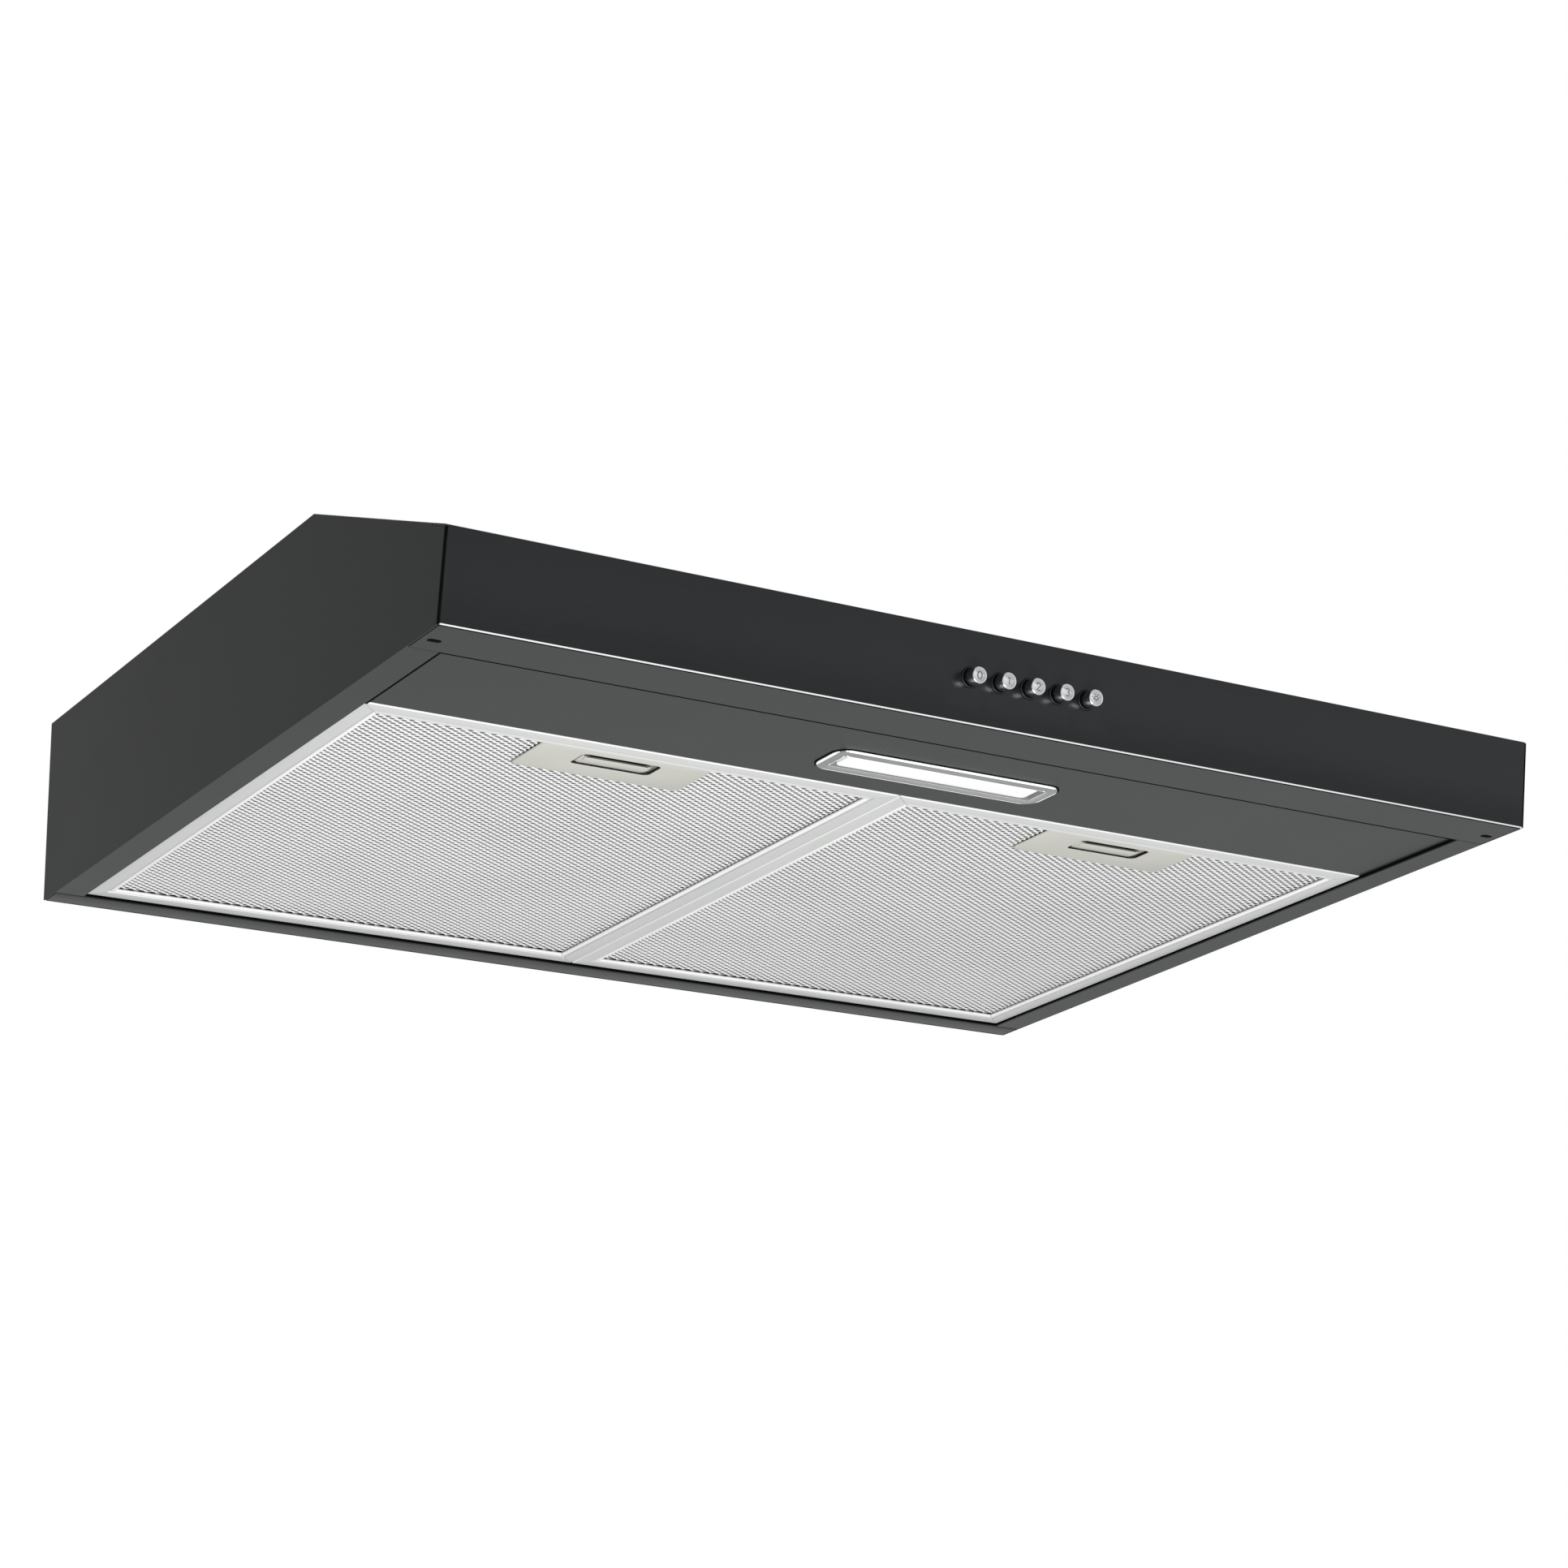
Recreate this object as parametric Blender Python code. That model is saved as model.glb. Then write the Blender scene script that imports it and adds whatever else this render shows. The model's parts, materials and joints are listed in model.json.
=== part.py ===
"""Under cabinet range hood, 600 mm wide, as an assembly of separate solids.

Lengths are metres.  +X is to the right seen from the front, +Y is towards the
wall, +Z is up.  The hood is drawn in its own measures (x from the centre line,
y from the front bottom edge, z from the bottom rim) and placed so that the
cabinet mount on the top panel is the world origin.
"""
import math

import bmesh
import bpy
from mathutils import Matrix, Vector

for item in list(bpy.data.objects):
    bpy.data.objects.remove(item, do_unlink=True)

MM = 0.001

# Overall shape of the body.
WIDTH = 600 * MM
DEPTH = 460 * MM
HEIGHT = 97 * MM
FRONT_HEIGHT = 43 * MM
FRONT_LEAN = 7.2 * MM
SLOPE_END = 130 * MM

# Sheet and running clearances.
SHEET = 1.0 * MM
FASCIA_SHEET = 1.2 * MM
GAP = 0.3 * MM
LAP = 10 * MM

# Underside.
SIDE_RIM = 16 * MM
FRONT_RIM = 30.4 * MM
LAMP_PANEL_END = 106 * MM
FILTER_END_GAP = 1.3 * MM
REAR_RIM = 17.3 * MM
FILTER_FLOOR = 2.0 * MM
FILTER_THICK = 8.7 * MM
FILTER_RAIL = 12 * MM
FILTER_SIDE_GAP = 0.6 * MM
FILTER_MESH = 0.6 * MM
FILTER_LAYERS = 1.2 * MM

# Latch of each filter.
LATCH_PLATE_WIDE = 90 * MM
LATCH_PLATE_LONG = 34.4 * MM
LATCH_SLOT_WIDE = 42 * MM
LATCH_SLOT_LONG = 15.5 * MM
LATCH_POCKET_DEEP = 5.0 * MM
LATCH_TRAVEL = 4.0 * MM
TONGUE_HALF = 7 * MM
TONGUE_THICK = 1.8 * MM

# Push buttons.
BUTTON_PITCH = 16.2 * MM
BUTTON_RADIUS = 4.0 * MM
BUTTON_PROUD = 8.3 * MM
BUTTON_TRAVEL = 3.0 * MM
BUTTON_UP = 21.5 * MM
BUTTON_STEM = 2.3 * MM
BUSH_WALL = 0.7 * MM
BUSH_FLANGE = 1.6 * MM

# Lamp.
LAMP_WIDE = 126 * MM
LAMP_LONG = 28 * MM
LAMP_Y = 73.5 * MM
LENS_WIDE = 108 * MM
LENS_LONG = 15 * MM

# Fan and outlet.
FAN_FROM_WALL = 115 * MM
FAN_Z = 54 * MM
SCROLL_START = 34 * MM
SCROLL_END = 40 * MM
CASING_HALF = 92 * MM
IMPELLER_RADIUS = 29 * MM
IMPELLER_IN = 31 * MM
IMPELLER_OUT = 86 * MM
IMPELLER_BOSS = 14 * MM
MOTOR_HALF = 24 * MM
MOTOR_RADIUS = 27 * MM
SHAFT_RADIUS = 4.0 * MM
DUCT_RADIUS = 60 * MM
DUCT_WALL = 2.0 * MM
DUCT_RISE = 30 * MM
FLAP_Z = HEIGHT + 11 * MM

# World origin: the cabinet mount on the top panel.
ORIGIN_Y = 205 * MM
ORIGIN_Z = HEIGHT

# Derived measures.
FILTER_FRONT = LAMP_PANEL_END + FILTER_END_GAP
FILTER_BACK = DEPTH - REAR_RIM
FAN_Y = DEPTH - FAN_FROM_WALL
BUSH_BORE = BUTTON_RADIUS + GAP
BUSH_RADIUS = BUSH_BORE + BUSH_WALL
HALF = WIDTH / 2
INNER_HALF = HALF - SHEET - GAP
OPEN_HALF = HALF - SIDE_RIM
LEAN_LENGTH = math.hypot(FRONT_HEIGHT, FRONT_LEAN)
LEAN_UP = Vector((0.0, -FRONT_LEAN / LEAN_LENGTH, FRONT_HEIGHT / LEAN_LENGTH))
LEAN_IN = Vector((0.0, FRONT_HEIGHT / LEAN_LENGTH, FRONT_LEAN / LEAN_LENGTH))
SLOPE_RUN = SLOPE_END + FRONT_LEAN
SLOPE_RISE = HEIGHT - FRONT_HEIGHT
SLOPE_LENGTH = math.hypot(SLOPE_RUN, SLOPE_RISE)
SLOPE_BACK = Vector((0.0, SLOPE_RUN / SLOPE_LENGTH, SLOPE_RISE / SLOPE_LENGTH))
SLOPE_DOWN = Vector((0.0, SLOPE_RISE / SLOPE_LENGTH, -SLOPE_RUN / SLOPE_LENGTH))
FASCIA_TOP = Vector((0.0, -FRONT_LEAN, FRONT_HEIGHT))
RETURN_LENGTH = 14 * MM
FILTER_TOP = FILTER_FLOOR + FILTER_THICK
FILTER_HALF = (OPEN_HALF - FILTER_SIDE_GAP - GAP) / 2
FILTER_CENTRE = (OPEN_HALF - FILTER_SIDE_GAP + GAP) / 2
HINGE_Y = FILTER_BACK + 0.6 * MM
HINGE_Z = FILTER_FLOOR
LATCH_FRONT = FILTER_FRONT + FILTER_RAIL + GAP
LATCH_SLOT_FRONT = LATCH_FRONT + 5.6 * MM
TONGUE_FLOOR = FILTER_FLOOR + 2.4 * MM

# Colours: linear red, green, blue, metallic share, roughness.
BODY_GREY = (0.045, 0.048, 0.047, 0.5, 0.45)
FASCIA_GREY = (0.028, 0.031, 0.035, 0.6, 0.25)
GALVANISED = (0.42, 0.43, 0.44, 0.9, 0.45)
ALUMINIUM = (0.62, 0.62, 0.61, 1.0, 0.38)
LATCH_GREY = (0.48, 0.46, 0.42, 0.2, 0.5)
CHROME = (0.80, 0.80, 0.81, 1.0, 0.10)
BLACK_PLASTIC = (0.015, 0.015, 0.016, 0.0, 0.45)
GREY_PLASTIC = (0.30, 0.31, 0.31, 0.0, 0.45)
WHITE_PLASTIC = (0.78, 0.78, 0.75, 0.0, 0.40)
CLEAR_GREY = (0.55, 0.57, 0.57, 0.0, 0.20)
BOARD_GREEN = (0.03, 0.14, 0.06, 0.0, 0.55)
STEEL = (0.50, 0.50, 0.50, 1.0, 0.30)
MOTOR_DARK = (0.07, 0.07, 0.075, 0.6, 0.50)


# ---------------------------------------------------------------- shapes

def box(x0, x1, y0, y1, z0, z1):
    """Rectangular block as corner points and faces."""
    points = [Vector((x, y, z)) for z in (z0, z1) for y in (y0, y1) for x in (x0, x1)]
    faces = [(0, 2, 3, 1), (4, 5, 7, 6), (0, 1, 5, 4), (2, 6, 7, 3), (0, 4, 6, 2), (1, 3, 7, 5)]
    return points, faces


def prism(outline, axis, low, high):
    """Flat outline pushed along one axis."""
    count = len(outline)
    points = []
    for along in (low, high):
        for u, v in outline:
            if axis == "X":
                points.append(Vector((along, u, v)))
            elif axis == "Y":
                points.append(Vector((u, along, v)))
            else:
                points.append(Vector((u, v, along)))
    faces = [tuple(range(count)), tuple(range(count, 2 * count))]
    for i in range(count):
        j = (i + 1) % count
        faces.append((i, j, j + count, i + count))
    return points, faces


def lathe(profile, segments, place, ring):
    """Profile of (along, radius) turned once; place maps (along, u, v) to a point."""
    points = []
    faces = []
    rows = []
    for along, radius in profile:
        if radius <= 0.0:
            rows.append([len(points)])
            points.append(place(along, 0.0, 0.0))
            continue
        row = []
        for k in range(segments):
            turn = math.tau * (k + 0.5) / segments
            row.append(len(points))
            points.append(place(along, radius * math.cos(turn), radius * math.sin(turn)))
        rows.append(row)
    pairs = list(zip(rows[:-1], rows[1:]))
    if ring:
        pairs.append((rows[-1], rows[0]))
    for one, two in pairs:
        for k in range(segments):
            n = (k + 1) % segments
            if len(one) == 1:
                faces.append((one[0], two[k], two[n]))
            elif len(two) == 1:
                faces.append((one[k], one[n], two[0]))
            else:
                faces.append((one[k], one[n], two[n], two[k]))
    return points, faces


def bar(place, radius, low, high, segments):
    """Plain round bar."""
    return lathe([(low, 0.0), (low, radius), (high, radius), (high, 0.0)], segments, place, False)


def tube(place, inner, outer, low, high, segments):
    """Plain round tube."""
    return lathe([(low, inner), (low, outer), (high, outer), (high, inner)], segments, place, True)


def along_x(y, z):
    """Placement of turned shapes on an axis along X."""
    return lambda a, u, v: Vector((a, y + u, z + v))


def along_y(x, z):
    """Placement of turned shapes on an axis along Y."""
    return lambda a, u, v: Vector((x + u, a, z + v))


def along_z(x, y):
    """Placement of turned shapes on an axis along Z."""
    return lambda a, u, v: Vector((x + u, y + v, a))


def into_fascia(x, up):
    """Placement on an axis square to the leaning front, positive going inward."""
    return lambda a, u, v: Vector((x + u, 0.0, 0.0)) + LEAN_UP * (up + v) + LEAN_IN * a


def rounded(x0, x1, y0, y1, radius, steps):
    """Rounded rectangle outline."""
    outline = []
    corners = ((x1, y1, 0.0), (x0, y1, 90.0), (x0, y0, 180.0), (x1, y0, 270.0))
    for cx, cy, start in corners:
        sx = cx - radius if cx == x1 else cx + radius
        sy = cy - radius if cy == y1 else cy + radius
        for k in range(steps + 1):
            turn = math.radians(start + 90.0 * k / steps)
            outline.append((sx + radius * math.cos(turn), sy + radius * math.sin(turn)))
    return outline


def keyhole(x, y, head, neck, length, steps):
    """Keyhole outline: round head with a slot running to +y."""
    rise = math.sqrt(head * head - neck * neck)
    start = math.atan2(rise, neck)
    outline = []
    for k in range(steps + 1):
        turn = start - (math.pi + 2 * start) * k / steps + math.tau
        outline.append((x + head * math.cos(turn), y + head * math.sin(turn)))
    for k in range(steps // 2 + 1):
        turn = math.pi - math.pi * k / (steps // 2)
        outline.append((x + neck * math.cos(turn), y + length + neck * math.sin(turn)))
    return outline


def bend_path(corners, radius, steps):
    """Corner points of a folded strip to (point, left normal) stations with round bends."""
    stations = []
    points = [Vector((u, v)) for u, v in corners]
    last = len(points) - 1
    for i, point in enumerate(points):
        if i in (0, last):
            run = points[1] - points[0] if i == 0 else points[last] - points[last - 1]
            run.normalize()
            stations.append((point, Vector((-run.y, run.x))))
            continue
        before = (point - points[i - 1]).normalized()
        after = (points[i + 1] - point).normalized()
        turn = math.atan2(before.x * after.y - before.y * after.x, before.dot(after))
        if abs(turn) < 0.02:
            mean = (before + after).normalized()
            stations.append((point, Vector((-mean.y, mean.x))))
            continue
        room = min((point - points[i - 1]).length, (points[i + 1] - point).length) * 0.45
        back = min(radius * math.tan(abs(turn) / 2), room)
        true_radius = back / math.tan(abs(turn) / 2)
        start = point - before * back
        side = 1.0 if turn > 0 else -1.0
        normal = Vector((-before.y, before.x))
        centre = start + normal * side * true_radius
        count = max(1, round(steps * abs(turn) / (math.pi / 2)))
        for k in range(count + 1):
            swing = Matrix.Rotation(turn * k / count, 2)
            left = swing @ normal
            stations.append((centre - left * side * true_radius, left))
    return stations


def strip(stations, thick):
    """Closed outline of a strip of even thickness centred on its stations."""
    left = [(p.x + n.x * thick / 2, p.y + n.y * thick / 2) for p, n in stations]
    right = [(p.x - n.x * thick / 2, p.y - n.y * thick / 2) for p, n in stations]
    return left + right[::-1]


def frame_sweep(x0, x1, y0, y1, profile):
    """Closed rectangular frame with mitred corners; profile is (inset, z)."""
    count = len(profile)
    points = []
    faces = []
    for sx, sy in ((0, 0), (1, 0), (1, 1), (0, 1)):
        for inset, z in profile:
            x = x1 - inset if sx else x0 + inset
            y = y1 - inset if sy else y0 + inset
            points.append(Vector((x, y, z)))
    for k in range(4):
        n = (k + 1) % 4
        for i in range(count):
            j = (i + 1) % count
            faces.append((k * count + i, n * count + i, n * count + j, k * count + j))
    return points, faces


def merge(shapes):
    """Several shapes carried as one."""
    points = []
    faces = []
    for shape_points, shape_faces in shapes:
        start = len(points)
        points.extend(shape_points)
        faces.extend(tuple(start + i for i in face) for face in shape_faces)
    return points, faces


def moved(shape, change):
    """Shape with every point passed through change."""
    return [change(point) for point in shape[0]], shape[1]


def mirrored(shape):
    """Shape mirrored from left to right."""
    points = [Vector((-p.x, p.y, p.z)) for p in shape[0]]
    return points, [tuple(reversed(face)) for face in shape[1]]


# ---------------------------------------------------------------- objects

def material(name, colour):
    """Principled material with one colour."""
    made = bpy.data.materials.get(name)
    if made is None:
        made = bpy.data.materials.new(name)
        made.use_nodes = True
        shader = made.node_tree.nodes["Principled BSDF"]
        shader.inputs["Base Color"].default_value = (colour[0], colour[1], colour[2], 1.0)
        shader.inputs["Metallic"].default_value = colour[3]
        shader.inputs["Roughness"].default_value = colour[4]
        made.diffuse_color = (colour[0], colour[1], colour[2], 1.0)
    return made


def raw_object(name, shape):
    """Object holding one shape, faces turned outward."""
    mesh = bpy.data.meshes.new(name)
    shift = Vector((0.0, -ORIGIN_Y, -ORIGIN_Z))
    mesh.from_pydata([tuple(point + shift) for point in shape[0]], [], shape[1])
    work = bmesh.new()
    work.from_mesh(mesh)
    bmesh.ops.recalc_face_normals(work, faces=work.faces)
    work.to_mesh(mesh)
    work.free()
    made = bpy.data.objects.new(name, mesh)
    bpy.context.scene.collection.objects.link(made)
    return made


def tidy(mesh):
    """Merge doubled points, join flat neighbours and split into triangles."""
    work = bmesh.new()
    work.from_mesh(mesh)
    bmesh.ops.remove_doubles(work, verts=work.verts, dist=0.0005 * MM)
    bmesh.ops.dissolve_limit(
        work,
        angle_limit=math.radians(0.05),
        use_dissolve_boundaries=False,
        verts=work.verts,
        edges=work.edges,
    )
    bmesh.ops.triangulate(work, faces=work.faces, quad_method="BEAUTY", ngon_method="BEAUTY")
    bmesh.ops.recalc_face_normals(work, faces=work.faces)
    work.to_mesh(mesh)
    work.free()


def solid(name, finish, colour, base, add=(), cut=(), pivot=None):
    """One closed body: base, joined with every shape in add, less every shape in cut."""
    made = raw_object(name, base)
    tools = []
    for operation, shapes in (("UNION", add), ("DIFFERENCE", cut)):
        for shape in shapes:
            tool = raw_object(name + "_tool", shape)
            tool.hide_render = True
            tool.display_type = "WIRE"
            change = made.modifiers.new("shape", "BOOLEAN")
            change.operation = operation
            change.solver = "EXACT"
            change.object = tool
            tools.append(tool)
    if tools:
        bpy.context.view_layer.update()
        graph = bpy.context.evaluated_depsgraph_get()
        result = bpy.data.meshes.new_from_object(made.evaluated_get(graph))
        made.modifiers.clear()
        made.data = result
        result.name = name
        for tool in tools:
            bpy.data.objects.remove(tool, do_unlink=True)
    tidy(made.data)
    made.data.materials.clear()
    made.data.materials.append(material(finish, colour))
    if pivot is not None:
        place = pivot + Vector((0.0, -ORIGIN_Y, -ORIGIN_Z))
        made.data.transform(Matrix.Translation(-place))
        made.location = place
    return made


# ---------------------------------------------------------------- body

def on_slope(x, along, down):
    """Point on the sloped front of the canopy: along from the fascia top, down into the body."""
    return FASCIA_TOP + Vector((x, 0.0, 0.0)) + SLOPE_BACK * along + SLOPE_DOWN * down


def on_front(x, up, inward):
    """Point on the leaning front: up from the bottom edge, inward from its face."""
    return Vector((x, 0.0, 0.0)) + LEAN_UP * up + LEAN_IN * inward


def side_panel(name, mirror):
    """Flat side with its bottom rim folded inward."""
    behind = FASCIA_SHEET + GAP
    foot = Vector((0.0, behind / LEAN_IN.y, 0.0))
    corner_normal = (LEAN_IN + SLOPE_DOWN).normalized()
    reach = behind / corner_normal.dot(LEAN_IN)
    notch_inner = FASCIA_TOP + corner_normal * reach
    under = on_slope(0.0, RETURN_LENGTH + GAP, behind)
    over = on_slope(0.0, RETURN_LENGTH + GAP, 0.0)
    outline = [(foot.y, foot.z), (notch_inner.y, notch_inner.z), (under.y, under.z)]
    outline += [(over.y, over.z), (SLOPE_END, HEIGHT), (DEPTH, HEIGHT), (DEPTH, 0.0)]
    plate = prism(outline, "X", -HALF, -HALF + SHEET)
    rim = box(-HALF + SHEET / 2, -OPEN_HALF, FRONT_RIM + GAP, HINGE_Y + 0.4 * MM, 0.0, SHEET)
    if mirror:
        plate = mirrored(plate)
        rim = mirrored(rim)
    solid(name, "satin_dark_grey", BODY_GREY, plate, add=[rim])


def top_panel():
    """Top with duct hole, cabinet keyholes and down-turned side laps."""
    low = HEIGHT - SHEET
    front = SLOPE_END + 0.5 * MM
    back = DEPTH - SHEET - GAP
    plate = box(-INNER_HALF, INNER_HALF, front, back, low, HEIGHT)
    laps = []
    for sign in (-1, 1):
        outer = sign * INNER_HALF
        inner = sign * (INNER_HALF - SHEET)
        low_x, high_x = min(outer, inner), max(outer, inner)
        laps.append(box(low_x, high_x, front + 15 * MM, back - 14 * MM, low - LAP, low + SHEET / 2))
    holes = [bar(along_z(0.0, FAN_Y), DUCT_RADIUS + 0.5 * MM, low - LAP / 2, HEIGHT + LAP / 2, 48)]
    for x in (-220 * MM, 220 * MM):
        for y in (185 * MM, DEPTH - 45 * MM):
            outline = keyhole(x, y, 4.5 * MM, 2.5 * MM, 11 * MM, 12)
            holes.append(prism(outline, "Z", low - LAP / 2, HEIGHT + LAP / 2))
    for x, y in casing_screw_spots():
        holes.append(bar(along_z(x, y), 1.8 * MM, low - LAP / 2, HEIGHT + LAP / 2, 12))
    solid("top_panel", "satin_dark_grey", BODY_GREY, plate, add=laps, cut=[merge(holes)])


def slope_panel():
    """Sloped canopy sheet with a joggled lap under the fascia."""
    start = RETURN_LENGTH + 2 * GAP
    end = SLOPE_LENGTH - 0.4 * MM
    lap_low = FASCIA_SHEET + GAP
    sheet = box(-INNER_HALF, INNER_HALF, start, end, 0.0, SHEET)
    joggle = box(-INNER_HALF, INNER_HALF, start, start + 3 * MM, SHEET / 2, lap_low + SHEET)
    tongue = box(-INNER_HALF, INNER_HALF, 3 * MM, start + MM, lap_low, lap_low + SHEET)
    pieces = [joggle, tongue]
    for sign in (-1, 1):
        low_x, high_x = sorted((sign * INNER_HALF, sign * (INNER_HALF - SHEET)))
        pieces.append(box(low_x, high_x, 25 * MM, 128 * MM, SHEET / 2, SHEET + LAP))
    place = lambda p: on_slope(p.x, p.y, p.z)
    solid(
        "slope_panel",
        "satin_dark_grey",
        BODY_GREY,
        moved(sheet, place),
        add=[moved(piece, place) for piece in pieces],
    )


GROMMET_X = 225 * MM
GROMMET_Z = 80 * MM


def back_panel():
    """Back with keyholes for wall screws and the cable hole."""
    front = DEPTH - SHEET
    plate = box(-INNER_HALF, INNER_HALF, front, DEPTH, 0.0, HEIGHT)
    laps = []
    for sign in (-1, 1):
        low_x, high_x = sorted((sign * INNER_HALF, sign * (INNER_HALF - SHEET)))
        laps.append(box(low_x, high_x, front - LAP, front + SHEET / 2, 14 * MM, 80 * MM))
    holes = [bar(along_y(GROMMET_X, GROMMET_Z), 6.0 * MM, front - LAP, DEPTH + LAP, 24)]
    for x in (-180 * MM, 180 * MM):
        outline = keyhole(x, 66 * MM, 4.5 * MM, 2.5 * MM, 11 * MM, 12)
        holes.append(prism(outline, "Y", front - LAP / 2, DEPTH + LAP / 2))
    solid("back_panel", "satin_dark_grey", BODY_GREY, plate, add=laps, cut=[merge(holes)])


def button_spots():
    """Positions of the five push buttons across the fascia."""
    return [BUTTON_PITCH * k for k in (-2, -1, 0, 1, 2)]


def fascia():
    """Leaning front with its top return and five button holes."""
    half = FASCIA_SHEET / 2
    foot = LEAN_IN * half - LEAN_UP * (half * LEAN_IN.z / LEAN_UP.z)
    corner_normal = (LEAN_IN + SLOPE_DOWN).normalized()
    top = FASCIA_TOP + corner_normal * (half / corner_normal.dot(LEAN_IN))
    tail = on_slope(0.0, RETURN_LENGTH, half)
    path = bend_path([(foot.y, foot.z), (top.y, top.z), (tail.y, tail.z)], 1.2 * MM, 4)
    sheet = prism(strip(path, FASCIA_SHEET), "X", -HALF, HALF)
    holes = []
    for x in button_spots():
        holes.append(bar(into_fascia(x, BUTTON_UP), BUSH_RADIUS + GAP, -4 * MM, 6 * MM, 24))
    solid("front_fascia", "gloss_dark_grey", FASCIA_GREY, sheet, cut=[merge(holes)])


def front_rim():
    """Bottom rim behind the fascia with its upstand and two slotted screw holes."""
    back = FASCIA_SHEET + GAP
    flange_front = back / LEAN_IN.y
    base = box(-INNER_HALF, INNER_HALF, flange_front + 0.2 * MM, FRONT_RIM, 0.0, SHEET)
    up0 = on_front(0.0, 0.6 * MM, back)
    up1 = on_front(0.0, 11 * MM, back)
    up2 = on_front(0.0, 11 * MM, back + SHEET)
    up3 = on_front(0.0, 0.6 * MM, back + SHEET)
    outline = [(up0.y, up0.z), (up1.y, up1.z), (up2.y, up2.z), (up3.y, up3.z)]
    upstand = prism(outline, "X", -INNER_HALF, INNER_HALF)
    holes = []
    for sign in (-1, 1):
        x = sign * 292.4 * MM
        slot = rounded(x - 3.4 * MM, x + 3.4 * MM, 17.2 * MM, 20.8 * MM, 1.79 * MM, 4)
        holes.append(prism(slot, "Z", -2 * MM, 4 * MM))
    solid("front_bottom_rim", "satin_dark_grey", BODY_GREY, base, add=[upstand], cut=[merge(holes)])


def rear_rail():
    """Channel across the back that carries the rear tabs of both filters."""
    y0 = HINGE_Y + 0.7 * MM
    y1 = DEPTH - SHEET - GAP
    web = y0 + 5 * MM
    ledge_top = FILTER_FLOOR + 6.7 * MM
    outline = [(y0, 0.0), (y1, 0.0), (y1, SHEET), (web + SHEET, SHEET), (web + SHEET, ledge_top)]
    outline += [(y0 + 0.6 * MM, ledge_top), (y0 + 0.6 * MM, ledge_top - SHEET)]
    outline += [(web, ledge_top - SHEET), (web, SHEET), (y0, SHEET)]
    rail = prism(outline, "X", -INNER_HALF, INNER_HALF)
    solid("rear_filter_rail", "satin_dark_grey", BODY_GREY, rail)


def catch_ledge():
    """Ledge across the hood that the filter latches rest on."""
    low = 2.3 * MM + GAP
    back = FILTER_FRONT - 1.1 * MM
    outline = [(back - 14 * MM, low), (back, low), (back, low + SHEET), (back - 5.7 * MM, low + SHEET)]
    outline += [(back - 5.7 * MM, 14 * MM), (back - 6.7 * MM, 14 * MM)]
    outline += [(back - 6.7 * MM, low + SHEET), (back - 14 * MM, low + SHEET)]
    ledge = prism(outline, "X", -OPEN_HALF, OPEN_HALF)
    solid("filter_catch_ledge", "galvanised_sheet", GALVANISED, ledge)


# ---------------------------------------------------------------- lamp

PANEL_LOW = SHEET + GAP
PANEL_HIGH = PANEL_LOW + SHEET


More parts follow.
